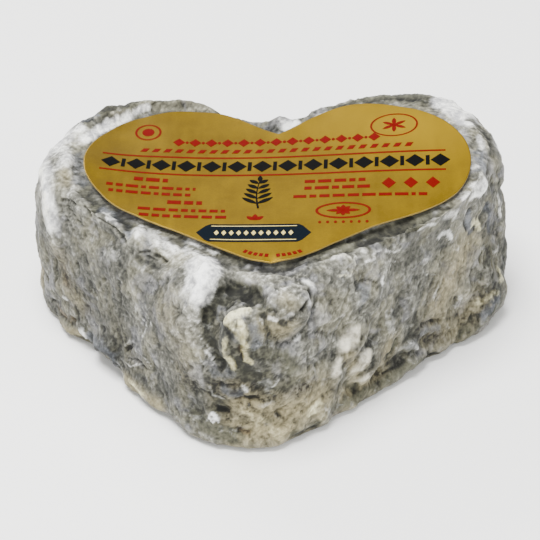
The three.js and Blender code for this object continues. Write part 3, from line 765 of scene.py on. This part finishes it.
def mark_places(points, tree, stops, seen):
    """Where the stops of a mark lie on the rind, or nearest to it where they miss it."""
    places = []
    for stop in stops:
        if seen:
            start = camera.location
            towards = photo_ray(stop)
        else:
            turn = math.radians(stop[0])
            towards = -Vector((math.cos(turn), math.sin(turn), 0))
            start = Vector((*MIDDLE, stop[1])) * MM - towards * 0.1
        hit = tree.ray_cast(start, towards)[0]
        if hit:
            places.append(np.array(hit) / MM)
        else:
            away = points - np.array(start) / MM
            aside = away - (away @ np.array(towards))[:, None] * np.array(towards)
            places.append(points[np.argmin(np.sum(aside * aside, axis=1))])
    return places


def nearness(points, places, wide):
    """1 along a line through the places, falling to 0 at a distance of wide."""
    nearest = np.full(len(points), np.inf)
    for start, end in zip(places, places[1:] or places):
        along = end - start
        share = np.clip((points - start) @ along / max(float(along @ along), 1e-9), 0, 1)
        gap = points - start - share[:, None] * along
        nearest = np.minimum(nearest, np.sum(gap * gap, axis=1))
    return 1 - np.sqrt(nearest) / wide


def draw_marks(points, triangles):
    """The tint of each kind of mark, and how far all marks together move the rind out."""
    tree = BVHTree.FromPolygons((points * MM).tolist(), triangles.tolist())
    ragged = RAGGEDNESS * (noise(points, 2.2, 11) + 0.9 * noise(points, 1.1, 12))
    push = warped(points, 1.7, 1.0, 20) - points + 0.5 * (warped(points, 0.9, 1.0, 30) - points)
    tints = {kind: np.zeros(len(points)) for kind in KINDS}
    out = np.zeros(len(points))
    for marks, seen in ((SEEN_MARKS, True), (HIDDEN_MARKS, False)):
        for kind, rows in marks.items():
            firmness, spread, _, raggedness = KINDS[kind]
            for wide, height, strength, *numbers in rows:
                places = mark_places(points, tree, np.reshape(numbers, (-1, 2)), seen)
                reach = wide * spread
                wobble = raggedness * min(WOBBLE * reach, MOST_WOBBLE)
                near = nearness(points + push * wobble, places, reach)
                shape = smooth_step((near + raggedness * ragged * (near > -1)) * firmness)
                tints[kind] = np.maximum(tints[kind], shape * strength)
                out += shape * height
    tints["dark"] *= np.clip(0.8 + 0.9 * noise(points, 1.7, 13), 0.25, 1)
    return tints, out


def make_rind():
    points, triangles = mesh_arrays(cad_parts["cheese"])
    for _ in range(2):
        points, triangles = subdivide(points, triangles)
    normals = vertex_normals(points, triangles)
    edges, _ = mesh_edges(triangles)
    tints, marks_out = draw_marks(points, triangles)

    bearing = np.degrees(np.arctan2(points[:, 1] - MIDDLE[1], points[:, 0] - MIDDLE[0]))
    steep = 1 - smooth_step((np.abs(normals[:, 2]) - 0.45) / 0.35)
    streaked = np.interp(bearing, *zip(*STREAKED)) * steep
    streaked = np.clip(streaked + 0.5 * noise(points, 7.0, 35), 0, 1)
    skewed = points.copy()
    skewed[:, 1] -= LEAN * points[:, 2]
    skewed[:, 2] *= 0.55
    winding = warped(skewed, 2.6, 1.0, 40)
    curling = warped(points, 2.2, 1.5, 45)
    folds = ridges(winding, FOLD_SIZE, 50), ridges(curling, FOLD_SIZE, 55)
    folds = folds[0] * streaked + folds[1] * (1 - streaked)
    streaks = noise(winding * (1, 1, 0.5), 1.1, 60), noise(curling, 1.3, 65)
    streaks = streaks[0] * streaked + streaks[1] * (1 - streaked)
    grain = noise(warped(points, 1.9, 0.5, 70), 0.95, 80)
    lumps = noise(points, 3.6, 90)
    blisters = dimples(warped(points, 2.4, 0.8, 95), 3.4, 1.35, 97) * (1 - 0.7 * streaked)
    pits = dimples(warped(points, 2.0, 0.6, 100), 4.6, 0.8, 110)

    flat_base = smooth_step((points[:, 2] - 0.1) / 1.1)
    from_label = label_edge_distance(points)
    below_top = smooth_step((TOP_EDGE - points[:, 2]) / 4)
    clear = np.maximum(smooth_step((from_label - 0.2) / 2.4), below_top)
    quiet = flat_base * clear
    smoothness = np.max([tints[kind] * KINDS[kind][2] for kind in KINDS], axis=0)
    rough = quiet * (1 - smoothness)
    grainy = np.interp(bearing, *zip(*GRAINY))
    fine = FOLD_DEPTH * (folds - 0.45) * (1 - grainy) + STREAK_DEPTH * streaks * (1 - 0.5 * grainy)
    fine += GRAIN_DEPTH * grain * (1 + grainy)
    fine += BLISTER_DEPTH * smooth_step(blisters * 1.4) - PIT_DEPTH * pits
    raised = np.where(marks_out > 0, marks_out * clear, marks_out)
    out = fine * rough + LUMP_DEPTH * lumps * quiet + raised
    folded_rim = smooth_step((-normals[:, 2] - 0.1) / 0.4) * (points[:, 2] > FOLDED_RIM)
    out *= 1 - folded_rim
    level = normals * (1, 1, 0)
    level /= np.maximum(np.linalg.norm(level, axis=1, keepdims=True), 0.35)
    low = 1 - smooth_step((points[:, 2:] - 0.4) / 2.0)
    moved = points + (normals + (level - normals) * low) * out[:, None]
    moved[:, 2] -= np.interp(bearing, *zip(*SUNK_RIM)) * smooth_step((points[:, 2] - SUNK_FROM) / 7)
    moved[:, 2] = np.maximum(moved[:, 2], np.minimum(points[:, 2], 0.05))

    normals = vertex_normals(moved, triangles)
    # How hollow each place is, at two sizes. The rind's colour uses this to paint shade into the
    # creases and light onto the crests.
    cavity = np.sum((neighbour_mean(moved, edges) - moved) * normals, axis=1)
    wide_cavity = neighbour_mean(neighbour_mean(cavity, edges), edges)
    cavity = (np.clip(cavity / 0.05, -1, 1) + np.clip(wide_cavity / 0.03, -1, 1)) / 2
    obj = new_object("rind", moved, triangles)
    add_attribute(obj, "cavity", cavity)
    add_attribute(obj, "folds", folds)
    add_attribute(obj, "streaked", streaked)
    add_attribute(obj, "under", smooth_step(-normals[:, 2] * 3 - 1.5))
    tints["level"] = tints.pop("pale") - tints.pop("shade")
    for kind, tint in tints.items():
        add_attribute(obj, kind, tint)
    return obj


def rind_material():
    g = Nodes("rind")
    place = g.place()
    combed = g.noise(g.skewed(place, LEAN, 1.9), 0.85, 4.0, 0.58, 0.6)
    knobbly = g.noise(place, 0.75, 4.0, 0.6, 0.9)
    fine = g.blend(g.times(g.attribute("streaked"), 0.75), knobbly, combed)
    speckle = g.noise(place, 2.1, 2.0, 0.55, 0.3)
    curls = g.noise(place, 0.42, 3.0, 0.55, 1.8)
    lines = g.math("MINIMUM", g.math("ABSOLUTE", g.total(-4.5, [(curls, 9.0)])), 1.0)
    crumbs = g.noise(place, 1.25, 1.0, 0.5, 0.2)
    clouds = g.noise(place, 0.1, 3.0, 0.6)
    fluff = g.noise(place, 0.33, 4.0, 0.62, 0.4)
    cavity = g.attribute("cavity")

    # the ribs of a draining mat on the underside, and the foot
    across, _, above = g.split(place)
    ribs = g.math("SINE", g.total(0, [(across, 2.4), (fluff, 3.84)]))
    ribs = g.times(g.total(0.5, [(ribs, 0.5)]), g.attribute("under"))
    foot = g.total(1, [(g.span(g.total(2, [(above, 1), (fluff, -4)]), 0.2, 2.6), -1)])

    # light crests and dark creases, at three sizes, the cavity term among them being painted shade
    # in the creases and painted light on the crests, and the broad light and dark of the shade and
    # pale marks, which is partly painted shadow under the label's edges and painted shade in the
    # nose's hollow
    tone = g.total(-0.655, [
        (cavity, -0.2), (fine, 0.72), (speckle, 0.26), (lines, -0.1), (crumbs, 0.42),
        (g.attribute("folds"), 0.12), (clouds, 0.8), (g.attribute("level"), 0.28),
        (ribs, -0.14), (foot, -0.1),
    ])
    shade = g.span(tone, 0.0, 0.95)
    greys = [(22, 22, 18), (50, 50, 44), (82, 81, 73), (124, 123, 113), (196, 195, 188)]
    colour = g.ramp(tone, greys)
    olive = g.span(g.noise(place, 0.16, 2.0, 0.5, 0.5), 0.47, 0.62)
    lilac = g.span(g.noise(place, 0.21, 2.0, 0.5, 0.8), 0.53, 0.66)
    mottle = g.total(0, [(fine, 0.45), (speckle, 0.25), (fluff, 0.3)])

    def broken(kind, amount, share):
        """A tint whose edge and body are broken up more finely than the mesh can."""
        ground = g.attribute(kind)
        noisy = g.total(-0.5 * amount, [(ground, 1), (mottle, amount)])
        return g.times(g.times(g.span(noisy, 0.08, 0.85), g.span(ground, 0.0, 0.3)), share)

    # The layers of colour, from the lowest up: how far each covers those below it, what it
    # goes by, and its colours where that is low and high.
    body = g.span(g.total(0, [(fluff, 1), (fine, 0.4)]), 0.5, 0.9)
    wool = g.span(g.total(0, [(fluff, 0.6), (fine, 0.4)]), 0.4, 0.62)
    # painted shade: the rind darker in its creases, from how hollow each place is and how low its
    # fine relief
    crease_shade = g.span(g.total(0.8, [(cavity, 1), (fine, -1.6)]), 0.6, 1.3)
    white = (shade, (132, 133, 128), (255, 255, 252))
    dark = (shade, (10, 10, 7), (58, 57, 46))
    for cover, by, low, high in (
        (g.times(olive, 0.35), tone, (34, 31, 18), (168, 163, 134)),
        (g.times(lilac, 0.25), tone, (38, 38, 42), (176, 176, 188)),
        (g.times(g.attribute("warm"), 0.85), tone, (32, 27, 12), (176, 165, 126)),
        (broken("beige", 1.2, 0.75), shade, (46, 39, 22), (158, 148, 116)),
        (g.times(foot, 0.7), shade, (26, 24, 14), (112, 106, 80)),
        # the hollow marks: the rind's own dark olive patches, and also painted shade in the nose's
        # hollow and painted shadow under the label's front edges
        (broken("hollow", 0.6, 0.9), shade, (28, 28, 20), (94, 93, 76)),
        (broken("slate", 1.2, 0.9), shade, (40, 42, 45), (114, 117, 122)),
        (g.times(g.span(fluff, 0.58, 0.74), 0.3), *white),
        (g.times(crease_shade, 0.6), *dark),
        (broken("brown", 1.2, 0.9), shade, (30, 22, 9), (118, 98, 64)),
        (broken("cloud", 1.0, 0.9), wool, (150, 150, 152), (250, 250, 244)),
        (broken("white", 1.5, 0.9), *white),
        (broken("cream", 1.3, 0.9), shade, (136, 128, 86), (240, 236, 196)),
        (broken("grain", 0.6, 1.0), body, (118, 112, 92), (216, 211, 192)),
        # the dark marks: cracks and pits, and also painted shadow under the label's front edges and
        # painted shade under the overhang of the nose's hollow
        (broken("dark", 1.5, 0.92), *dark),
    ):
        colour = g.mix(cover, colour, g.mix(by, rgb(*low), rgb(*high)))

    height = g.total(0, [(fine, 0.8), (speckle, 0.35), (ribs, -0.8)])
    g.surface(base_color=colour, roughness=0.88, normal=g.bump(height, 0.22, 0.65))
    g.shader.inputs["Specular IOR Level"].default_value = 0.3
    g.shader.inputs["Sheen Weight"].default_value = 0.06
    return g.material


rind = make_rind()
rind.data.materials.append(rind_material())
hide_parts("cheese")
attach(rind, "root")


# The paper label.

LABEL_COLUMNS = 420
LABEL_RINGS = 26
COCKLE_DEPTH = 0.16
COCKLE_SIZE = 7.0
COCKLE_REACH = 5.0
RIPPLE_DEPTH = 0.03
RIPPLE_SIZE = 14.0
CREASE_AT = (0.6, -26.6)
CREASE_REACH = 2.2
CREASE_DEPTH = 0.35


def paper_face(x, y):
    """The upper face of the cockled paper over places about the label's middle."""
    points = np.column_stack([x, y, np.zeros(len(x))])
    inside = -label_edge_distance(points + (LABEL_X, LABEL_Y, 0))
    near_edge = 1 - smooth_step(inside / COCKLE_REACH)
    cockle = COCKLE_DEPTH * near_edge * noise(points, COCKLE_SIZE, 200)
    ripple = RIPPLE_DEPTH * noise(points, RIPPLE_SIZE, 210)
    from_crease = np.hypot(x - CREASE_AT[0], y - CREASE_AT[1])
    crease = CREASE_DEPTH * np.clip(1 - from_crease / CREASE_REACH, 0, 1) ** 1.5
    return paper_height(x, y) + cockle + ripple - crease


# How far the paper's edge is cut inside the plain heart, in mm, by bearing from its middle.
TRIM = [
    (-180, 0.1), (-168, 0.5), (-158, 0.2), (-147, 0.1), (-135, 0.5), (-112, 0.6), (-100, 0.8),
    (-90, 0.5), (-70, 0.3), (-56, 0.7), (-44, 0.9), (-30, 0.6), (-20, 0.2), (-10, -0.3), (20, -0.2),
    (33, 0.1), (46, 0.5), (60, 0.1), (92, 0.1), (106, 0.6), (120, 0.5), (130, -0.2), (142, -0.4),
    (154, 0.0), (180, 0.1),
]


def trimmed(outline):
    ahead = np.roll(outline, -1, axis=0) - np.roll(outline, 1, axis=0)
    outward = ahead[:, ::-1] * (1, -1) / np.hypot(*ahead.T)[:, None]
    bearing = np.degrees(np.arctan2(outline[:, 1], outline[:, 0]))
    return outline - outward * np.interp(bearing, *zip(*TRIM))[:, None]


def make_paper(face_material, edge_material):
    """A closed sheet of rings round the label's middle, with a plain cut edge."""
    count = LABEL_COLUMNS
    outline = trimmed(label_outline(count))
    shares = 1 - np.linspace(0, 1, LABEL_RINGS) ** 1.6
    flat = np.vstack([outline * share for share in shares[:-1]] + [np.zeros((1, 2))])
    plan = flat + (LABEL_X, LABEL_Y)
    top = np.column_stack([plan, paper_face(flat[:, 0], flat[:, 1])])
    under = top - (0, 0, LABEL_THICKNESS)
    rings = np.arange(len(top) - 1).reshape(-1, count)
    rings = np.column_stack([rings, rings[:, :1]])
    upper = grid_faces(rings) + [(a, b, len(top) - 1) for a, b in zip(rings[-1], rings[-1, 1:])]
    faces = upper + turned_under(upper, len(top)) + wall_faces(rings[0], len(top))
    obj = new_object("paper", np.vstack([top, under]), faces, (face_material, edge_material))
    on_rim = np.arange(len(faces)) >= 2 * len(upper)
    obj.data.polygons.foreach_set("use_smooth", ~on_rim)
    obj.data.polygons.foreach_set("material_index", on_rim.astype(np.int32))
    return obj


# The print: fields and simple shapes, each drawn as a strip between two lines and laid on
# the paper. Places are in mm about the label's middle.
PRINT_RISE = 0.035
OVERPRINT_RISE = 0.06
PRINT_CELL = 1.0
DASH_GAP = 0.55
BAND_Y = -18.3


def level_line(x, y):
    """The places at the given x, all at one y."""
    return np.column_stack([x, np.full(len(x), y)])


class Print:
    """The shapes of one colour, gathered into one mesh."""

    def __init__(self, name, material, rise=PRINT_RISE):
        self.name = name
        self.material = material
        self.rise = rise
        self.points = []
        self.faces = []

    def strip(self, first, second, closed=False):
        """A closed, very thin solid between two lines with the same number of stops."""
        first, second = np.asarray(first, float), np.asarray(second, float)
        across = max(1, math.ceil(np.max(np.hypot(*(second - first).T)) / PRINT_CELL))
        flat = np.vstack([first + (second - first) * k / across for k in range(across + 1)])
        face = paper_face(flat[:, 0], flat[:, 1])
        plan = flat + (LABEL_X, LABEL_Y)
        grid = sum(map(len, self.points)) + np.arange(len(flat)).reshape(across + 1, -1)
        self.points += [np.column_stack([plan, face + side * self.rise]) for side in (1, -1)]
        if closed:
            grid = np.column_stack([grid, grid[:, :1]])
        upper = grid_faces(grid)
        self.faces += upper + turned_under(upper, len(flat))
        edges = [grid[0], grid[-1, ::-1]]
        if not closed:
            edges += [grid[::-1, 0], grid[:, -1]]
        for edge in edges:
            self.faces += wall_faces(edge, len(flat))

    def swell(self, spine, half, side=(0, 1)):
        """A shape that reaches out by half on either side of a line."""
        reach = half[:, None] * side
        self.strip(spine - reach, spine + reach)

    def bar(self, x, y, wide, high, slant=0.0):
        """An upright or slanting bar with its lower left corner at x, y."""
        stops = np.linspace(0, wide, max(2, math.ceil(wide / PRINT_CELL) + 1))
        lower = level_line(x + stops, y)
        self.strip(lower, lower + (slant * high, high))

    def lozenge(self, x, y, wide, high):
        share = np.linspace(-1, 1, 9)
        self.swell(level_line(x + share * wide / 2, y), (1 - np.abs(share)) * high / 2 + 0.01)

    def disc(self, x, y, wide, high):
        turn = np.linspace(0.06, math.pi - 0.06, 15)[::-1]
        self.swell(level_line(x + np.cos(turn) * wide / 2, y), np.sin(turn) * high / 2)

    def ring(self, x, y, wide, high, line):
        turn = np.linspace(0, 2 * math.pi, 48, endpoint=False)
        shape = np.column_stack([np.cos(turn), np.sin(turn)])
        outer = (x, y) + shape * (wide / 2, high / 2)
        inner = (x, y) + shape * (wide / 2 - line, high / 2 - line)
        self.strip(outer, inner, closed=True)

    def stroke(self, stops, line):
        """A line through several stops that thins towards its end."""
        along = np.gradient(stops, axis=0)
        side = along[:, ::-1] * (-1, 1) / np.linalg.norm(along, axis=1)[:, None]
        self.swell(stops, line / 2 * np.linspace(1, 0.35, len(stops)), side)

    def leaf(self, x, y, long, wide, angle):
        share = np.linspace(0, 1, 9)
        belly = np.sin(share * math.pi) ** 0.8 * wide / 2 + 0.01
        turn = math.radians(angle)
        along = np.array((math.cos(turn), math.sin(turn)))
        self.swell((x, y) + share[:, None] * long * along, belly, along[::-1] * (-1, 1))

    def dashes(self, x, y, to, high, seed):
        """A row of dashes of uneven length from x to the given end."""
        for wide in np.random.default_rng(seed).uniform(0.7, 2.6, 60):
            wide = min(wide, to - x)
            if wide < 0.4:
                break
            self.bar(x, y - high / 2, wide, high)
            x += wide + DASH_GAP

    def make(self):
        points = np.vstack(self.points)
        obj = new_object(self.name, points, self.faces, (self.material,), smooth=False)
        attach(obj, "root")


def red_print(ink):
    # two rules, and between and above them rows of lozenges, dots and slanted bars
    for y in (7.75, 1.45):
        ink.bar(-32.4, y - 0.25, 63.6, 0.5)
    for k in range(13):
        x = -18.6 + 3.05 * k
        ink.lozenge(x, 13.4, 2.3, 2.9)
        if k < 12:
            ink.disc(x + 1.52, 13.4, 0.6, 0.9)
    for k in range(24):
        ink.bar(-25.6 + 2.14 * k, 9.5, 1.15, 1.3, slant=0.45)
    # the ring with a disc, and the oval with a rosette
    ink.ring(-24.7, 17.0, 5.0, 6.0, 0.42)
    ink.disc(-24.7, 17.0, 2.3, 2.9)
    ink.ring(21.7, 17.2, 9.0, 8.0, 0.36)
    for angle in range(0, 360, 60):
        ink.leaf(21.7, 17.2, 2.5, 0.8, angle + 30)
    # small print on both sides
    for seed, (x, y, to, high) in enumerate([
        (-25.8, -0.9, -19.4, 1.25), (-30.6, -3.6, -14.3, 0.95), (-30.0, -5.7, -15.1, 0.95),
        (-19.1, -8.4, -12.8, 1.25), (-24.2, -11.1, -8.0, 0.95), (-23.8, -13.2, -7.6, 0.95),
        (5.5, -1.3, 17.4, 1.05), (5.5, -3.6, 17.4, 1.05), (3.6, -6.4, 28.2, 0.95),
    ], start=1):
        ink.dashes(x, y, to, high, seed)
    for x in (20.8, 24.8, 28.8):
        ink.lozenge(x, -2.7, 2.6, 3.6)
    # the oval with a star, and the dots beneath it
    ink.ring(12.7, -11.4, 10.0, 5.4, 0.5)
    for angle in range(0, 360, 45):
        ink.leaf(12.7, -11.4, 3.0 if angle % 180 == 0 else 1.75, 0.9, angle)
    for k in range(7):
        ink.disc(8.6 + 1.4 * k, -15.2, 0.55, 0.8)
    # the bud, and the dashes that curve round the point
    for angle in (90, 40, 140):
        ink.leaf(-3.0, -14.2, 2.0, 1.0, angle)
    for k in (0, 1, 2, 3, 4, 6, 7, 8, 9, 10):
        turn = math.radians(-122 + 6.4 * k)
        outward = np.array((math.cos(turn), math.sin(turn)))
        middle = (0.6, -16.6) + outward * (9.0, 8.4)
        along = outward[::-1] * (-0.33, 0.33)
        ends = np.array([middle - along, middle + along])
        ink.strip(ends + 0.45 * outward, ends - 0.45 * outward)


def black_print(ink):
    # the row of lozenges and bars
    for k in range(14):
        x = -30.6 + 4.68 * k
        ink.lozenge(x, 4.6, 3.6, 4.1)
        if k < 13:
            ink.bar(x + 1.98, 3.0, 0.72, 3.2)
    # the twig and its leaves
    share = np.linspace(0, 1, 14)
    ink.stroke(np.column_stack([-2.6 - 0.5 * np.sin(share * 3), -10.2 + 9.8 * share]), 0.4)
    for k in range(5):
        for angle in (38, 142):
            ink.leaf(-2.9, -8.6 + 1.75 * k, 3.6 - 0.35 * k, 1.0, angle)
    ink.leaf(-2.7, -1.0, 2.2, 0.9, 90)


def navy_print(ink):
    share = np.linspace(-1, 1, 27)
    ink.swell(level_line(-3.0 + share * 10.2, BAND_Y), np.clip((1 - np.abs(share)) * 14, 0.02, 2.7))


def cream_print(ink):
    for k in range(11):
        ink.lozenge(-9.6 + 1.32 * k, BAND_Y, 0.85, 1.5)
    for y in (-20.35, -16.25):
        ink.bar(-10.6, y - 0.09, 15.2, 0.18)


def gold_paper():
    g = Nodes("gold_paper")
    place = g.place()
    mottle = g.noise(place, 0.16, 3.0, 0.6)
    fibre = g.noise(place, 3.0, 3.0, 0.6)
    drawn = g.add("ShaderNodeVectorMath", {0: place, 1: (1.0, 0.12, 1.0)}, operation="MULTIPLY")
    brushed = g.noise(drawn.outputs[0], 0.6, 3.0, 0.6)
    shade = g.total(0, [(mottle, 0.5), (fibre, 0.3), (brushed, 0.2)])
    deep = g.mix(g.span(shade, 0.3, 0.7), rgb(116, 90, 0), rgb(140, 112, 0))
    # A painted highlight: the gold is lighter towards the upper right, as a reflection of the lamps
    # would make it, and goes back to its deep colour near the right and back edges.
    across = g.add("ShaderNodeVectorMath", {0: place, 1: (0.5, 0.85, 0.0)}, operation="DOT_PRODUCT")
    colour = g.mix(g.span(across.outputs["Value"], 8.0, 36.0), deep, rgb(176, 142, 6))
    rightward, backward, _ = g.split(place)
    rim = g.total(0, [(g.span(rightward, 26.0, 42.0), 0.6), (g.span(backward, 16.0, 30.0), 0.6)])
    colour = g.mix(rim, colour, deep)
    g.surface(
        base_color=colour,
        metallic=0.85,
        roughness=g.total(0.39, [(brushed, 0.08)]),
        normal=g.bump(g.total(0, [(fibre, 1), (mottle, 3)]), 0.02, 0.5),
    )
    return g.material


def plain_ink(name, colour, roughness):
    g = Nodes(name)
    specks = g.noise(g.place(), 4.0, 2.0)
    darker = tuple(level * 0.82 for level in colour[:3]) + (1,)
    g.surface(base_color=g.mix(g.span(specks, 0.35, 0.65), darker, colour), roughness=roughness)
    g.shader.inputs["Specular IOR Level"].default_value = 0.05
    return g.material


paper = make_paper(gold_paper(), plain_ink("paper_edge", rgb(138, 118, 66), 0.7))
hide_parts("label")
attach(paper, "root")

inks = [
    ("print_red", rgb(92, 2, 0), PRINT_RISE, red_print),
    ("print_black", rgb(2, 2, 2), PRINT_RISE, black_print),
    ("print_navy", rgb(1, 9, 18), PRINT_RISE, navy_print),
    ("print_cream", rgb(196, 178, 110), OVERPRINT_RISE, cream_print),
]
for ink_name, ink_colour, ink_rise, draw in inks:
    ink = Print(ink_name, plain_ink(ink_name, ink_colour, 0.5), ink_rise)
    draw(ink)
    ink.make()


# The floor and the lights.

FLOOR_HALF = 3000
AIM = (0, 0, 0.015)
# Each light's place in metres, its size and its power.
LIGHTS = {
    "top_light": ((-0.15, -0.1, 0.95), (0.55, 0.5), 26),
    "front_fill": ((-0.45, -0.9, 0.5), (0.9, 0.6), 8),
    "side_fill": ((0.8, -0.6, 0.5), (0.7, 0.6), 8),
    "back_light": ((-0.56, 0.8, 0.56), (0.4, 0.4), 9),
}
SKY_STRENGTH = 0.5


def make_stage():
    g = Nodes("floor")
    g.surface(base_color=rgb(246, 246, 244), roughness=0.6)
    corners = [(x * FLOOR_HALF, y * FLOOR_HALF, 0) for x, y in ((-1, -1), (1, -1), (1, 1), (-1, 1))]
    new_object("floor", corners, [(0, 1, 2, 3)], (g.material,), smooth=False)
    for name, (place, size, power) in LIGHTS.items():
        data = bpy.data.lights.new(name, "AREA")
        data.shape = "RECTANGLE"
        data.size, data.size_y = size
        data.energy = power
        lamp = bpy.data.objects.new(name, data)
        scene.collection.objects.link(lamp)
        lamp.location = place
        lamp.rotation_euler = (Vector(place) - Vector(AIM)).to_track_quat("Z", "Y").to_euler()
    world = bpy.data.worlds.new("studio")
    world.use_nodes = True
    background = world.node_tree.nodes["Background"]
    background.inputs["Color"].default_value = (1, 1, 1, 1)
    background.inputs["Strength"].default_value = SKY_STRENGTH
    scene.world = world


make_stage()
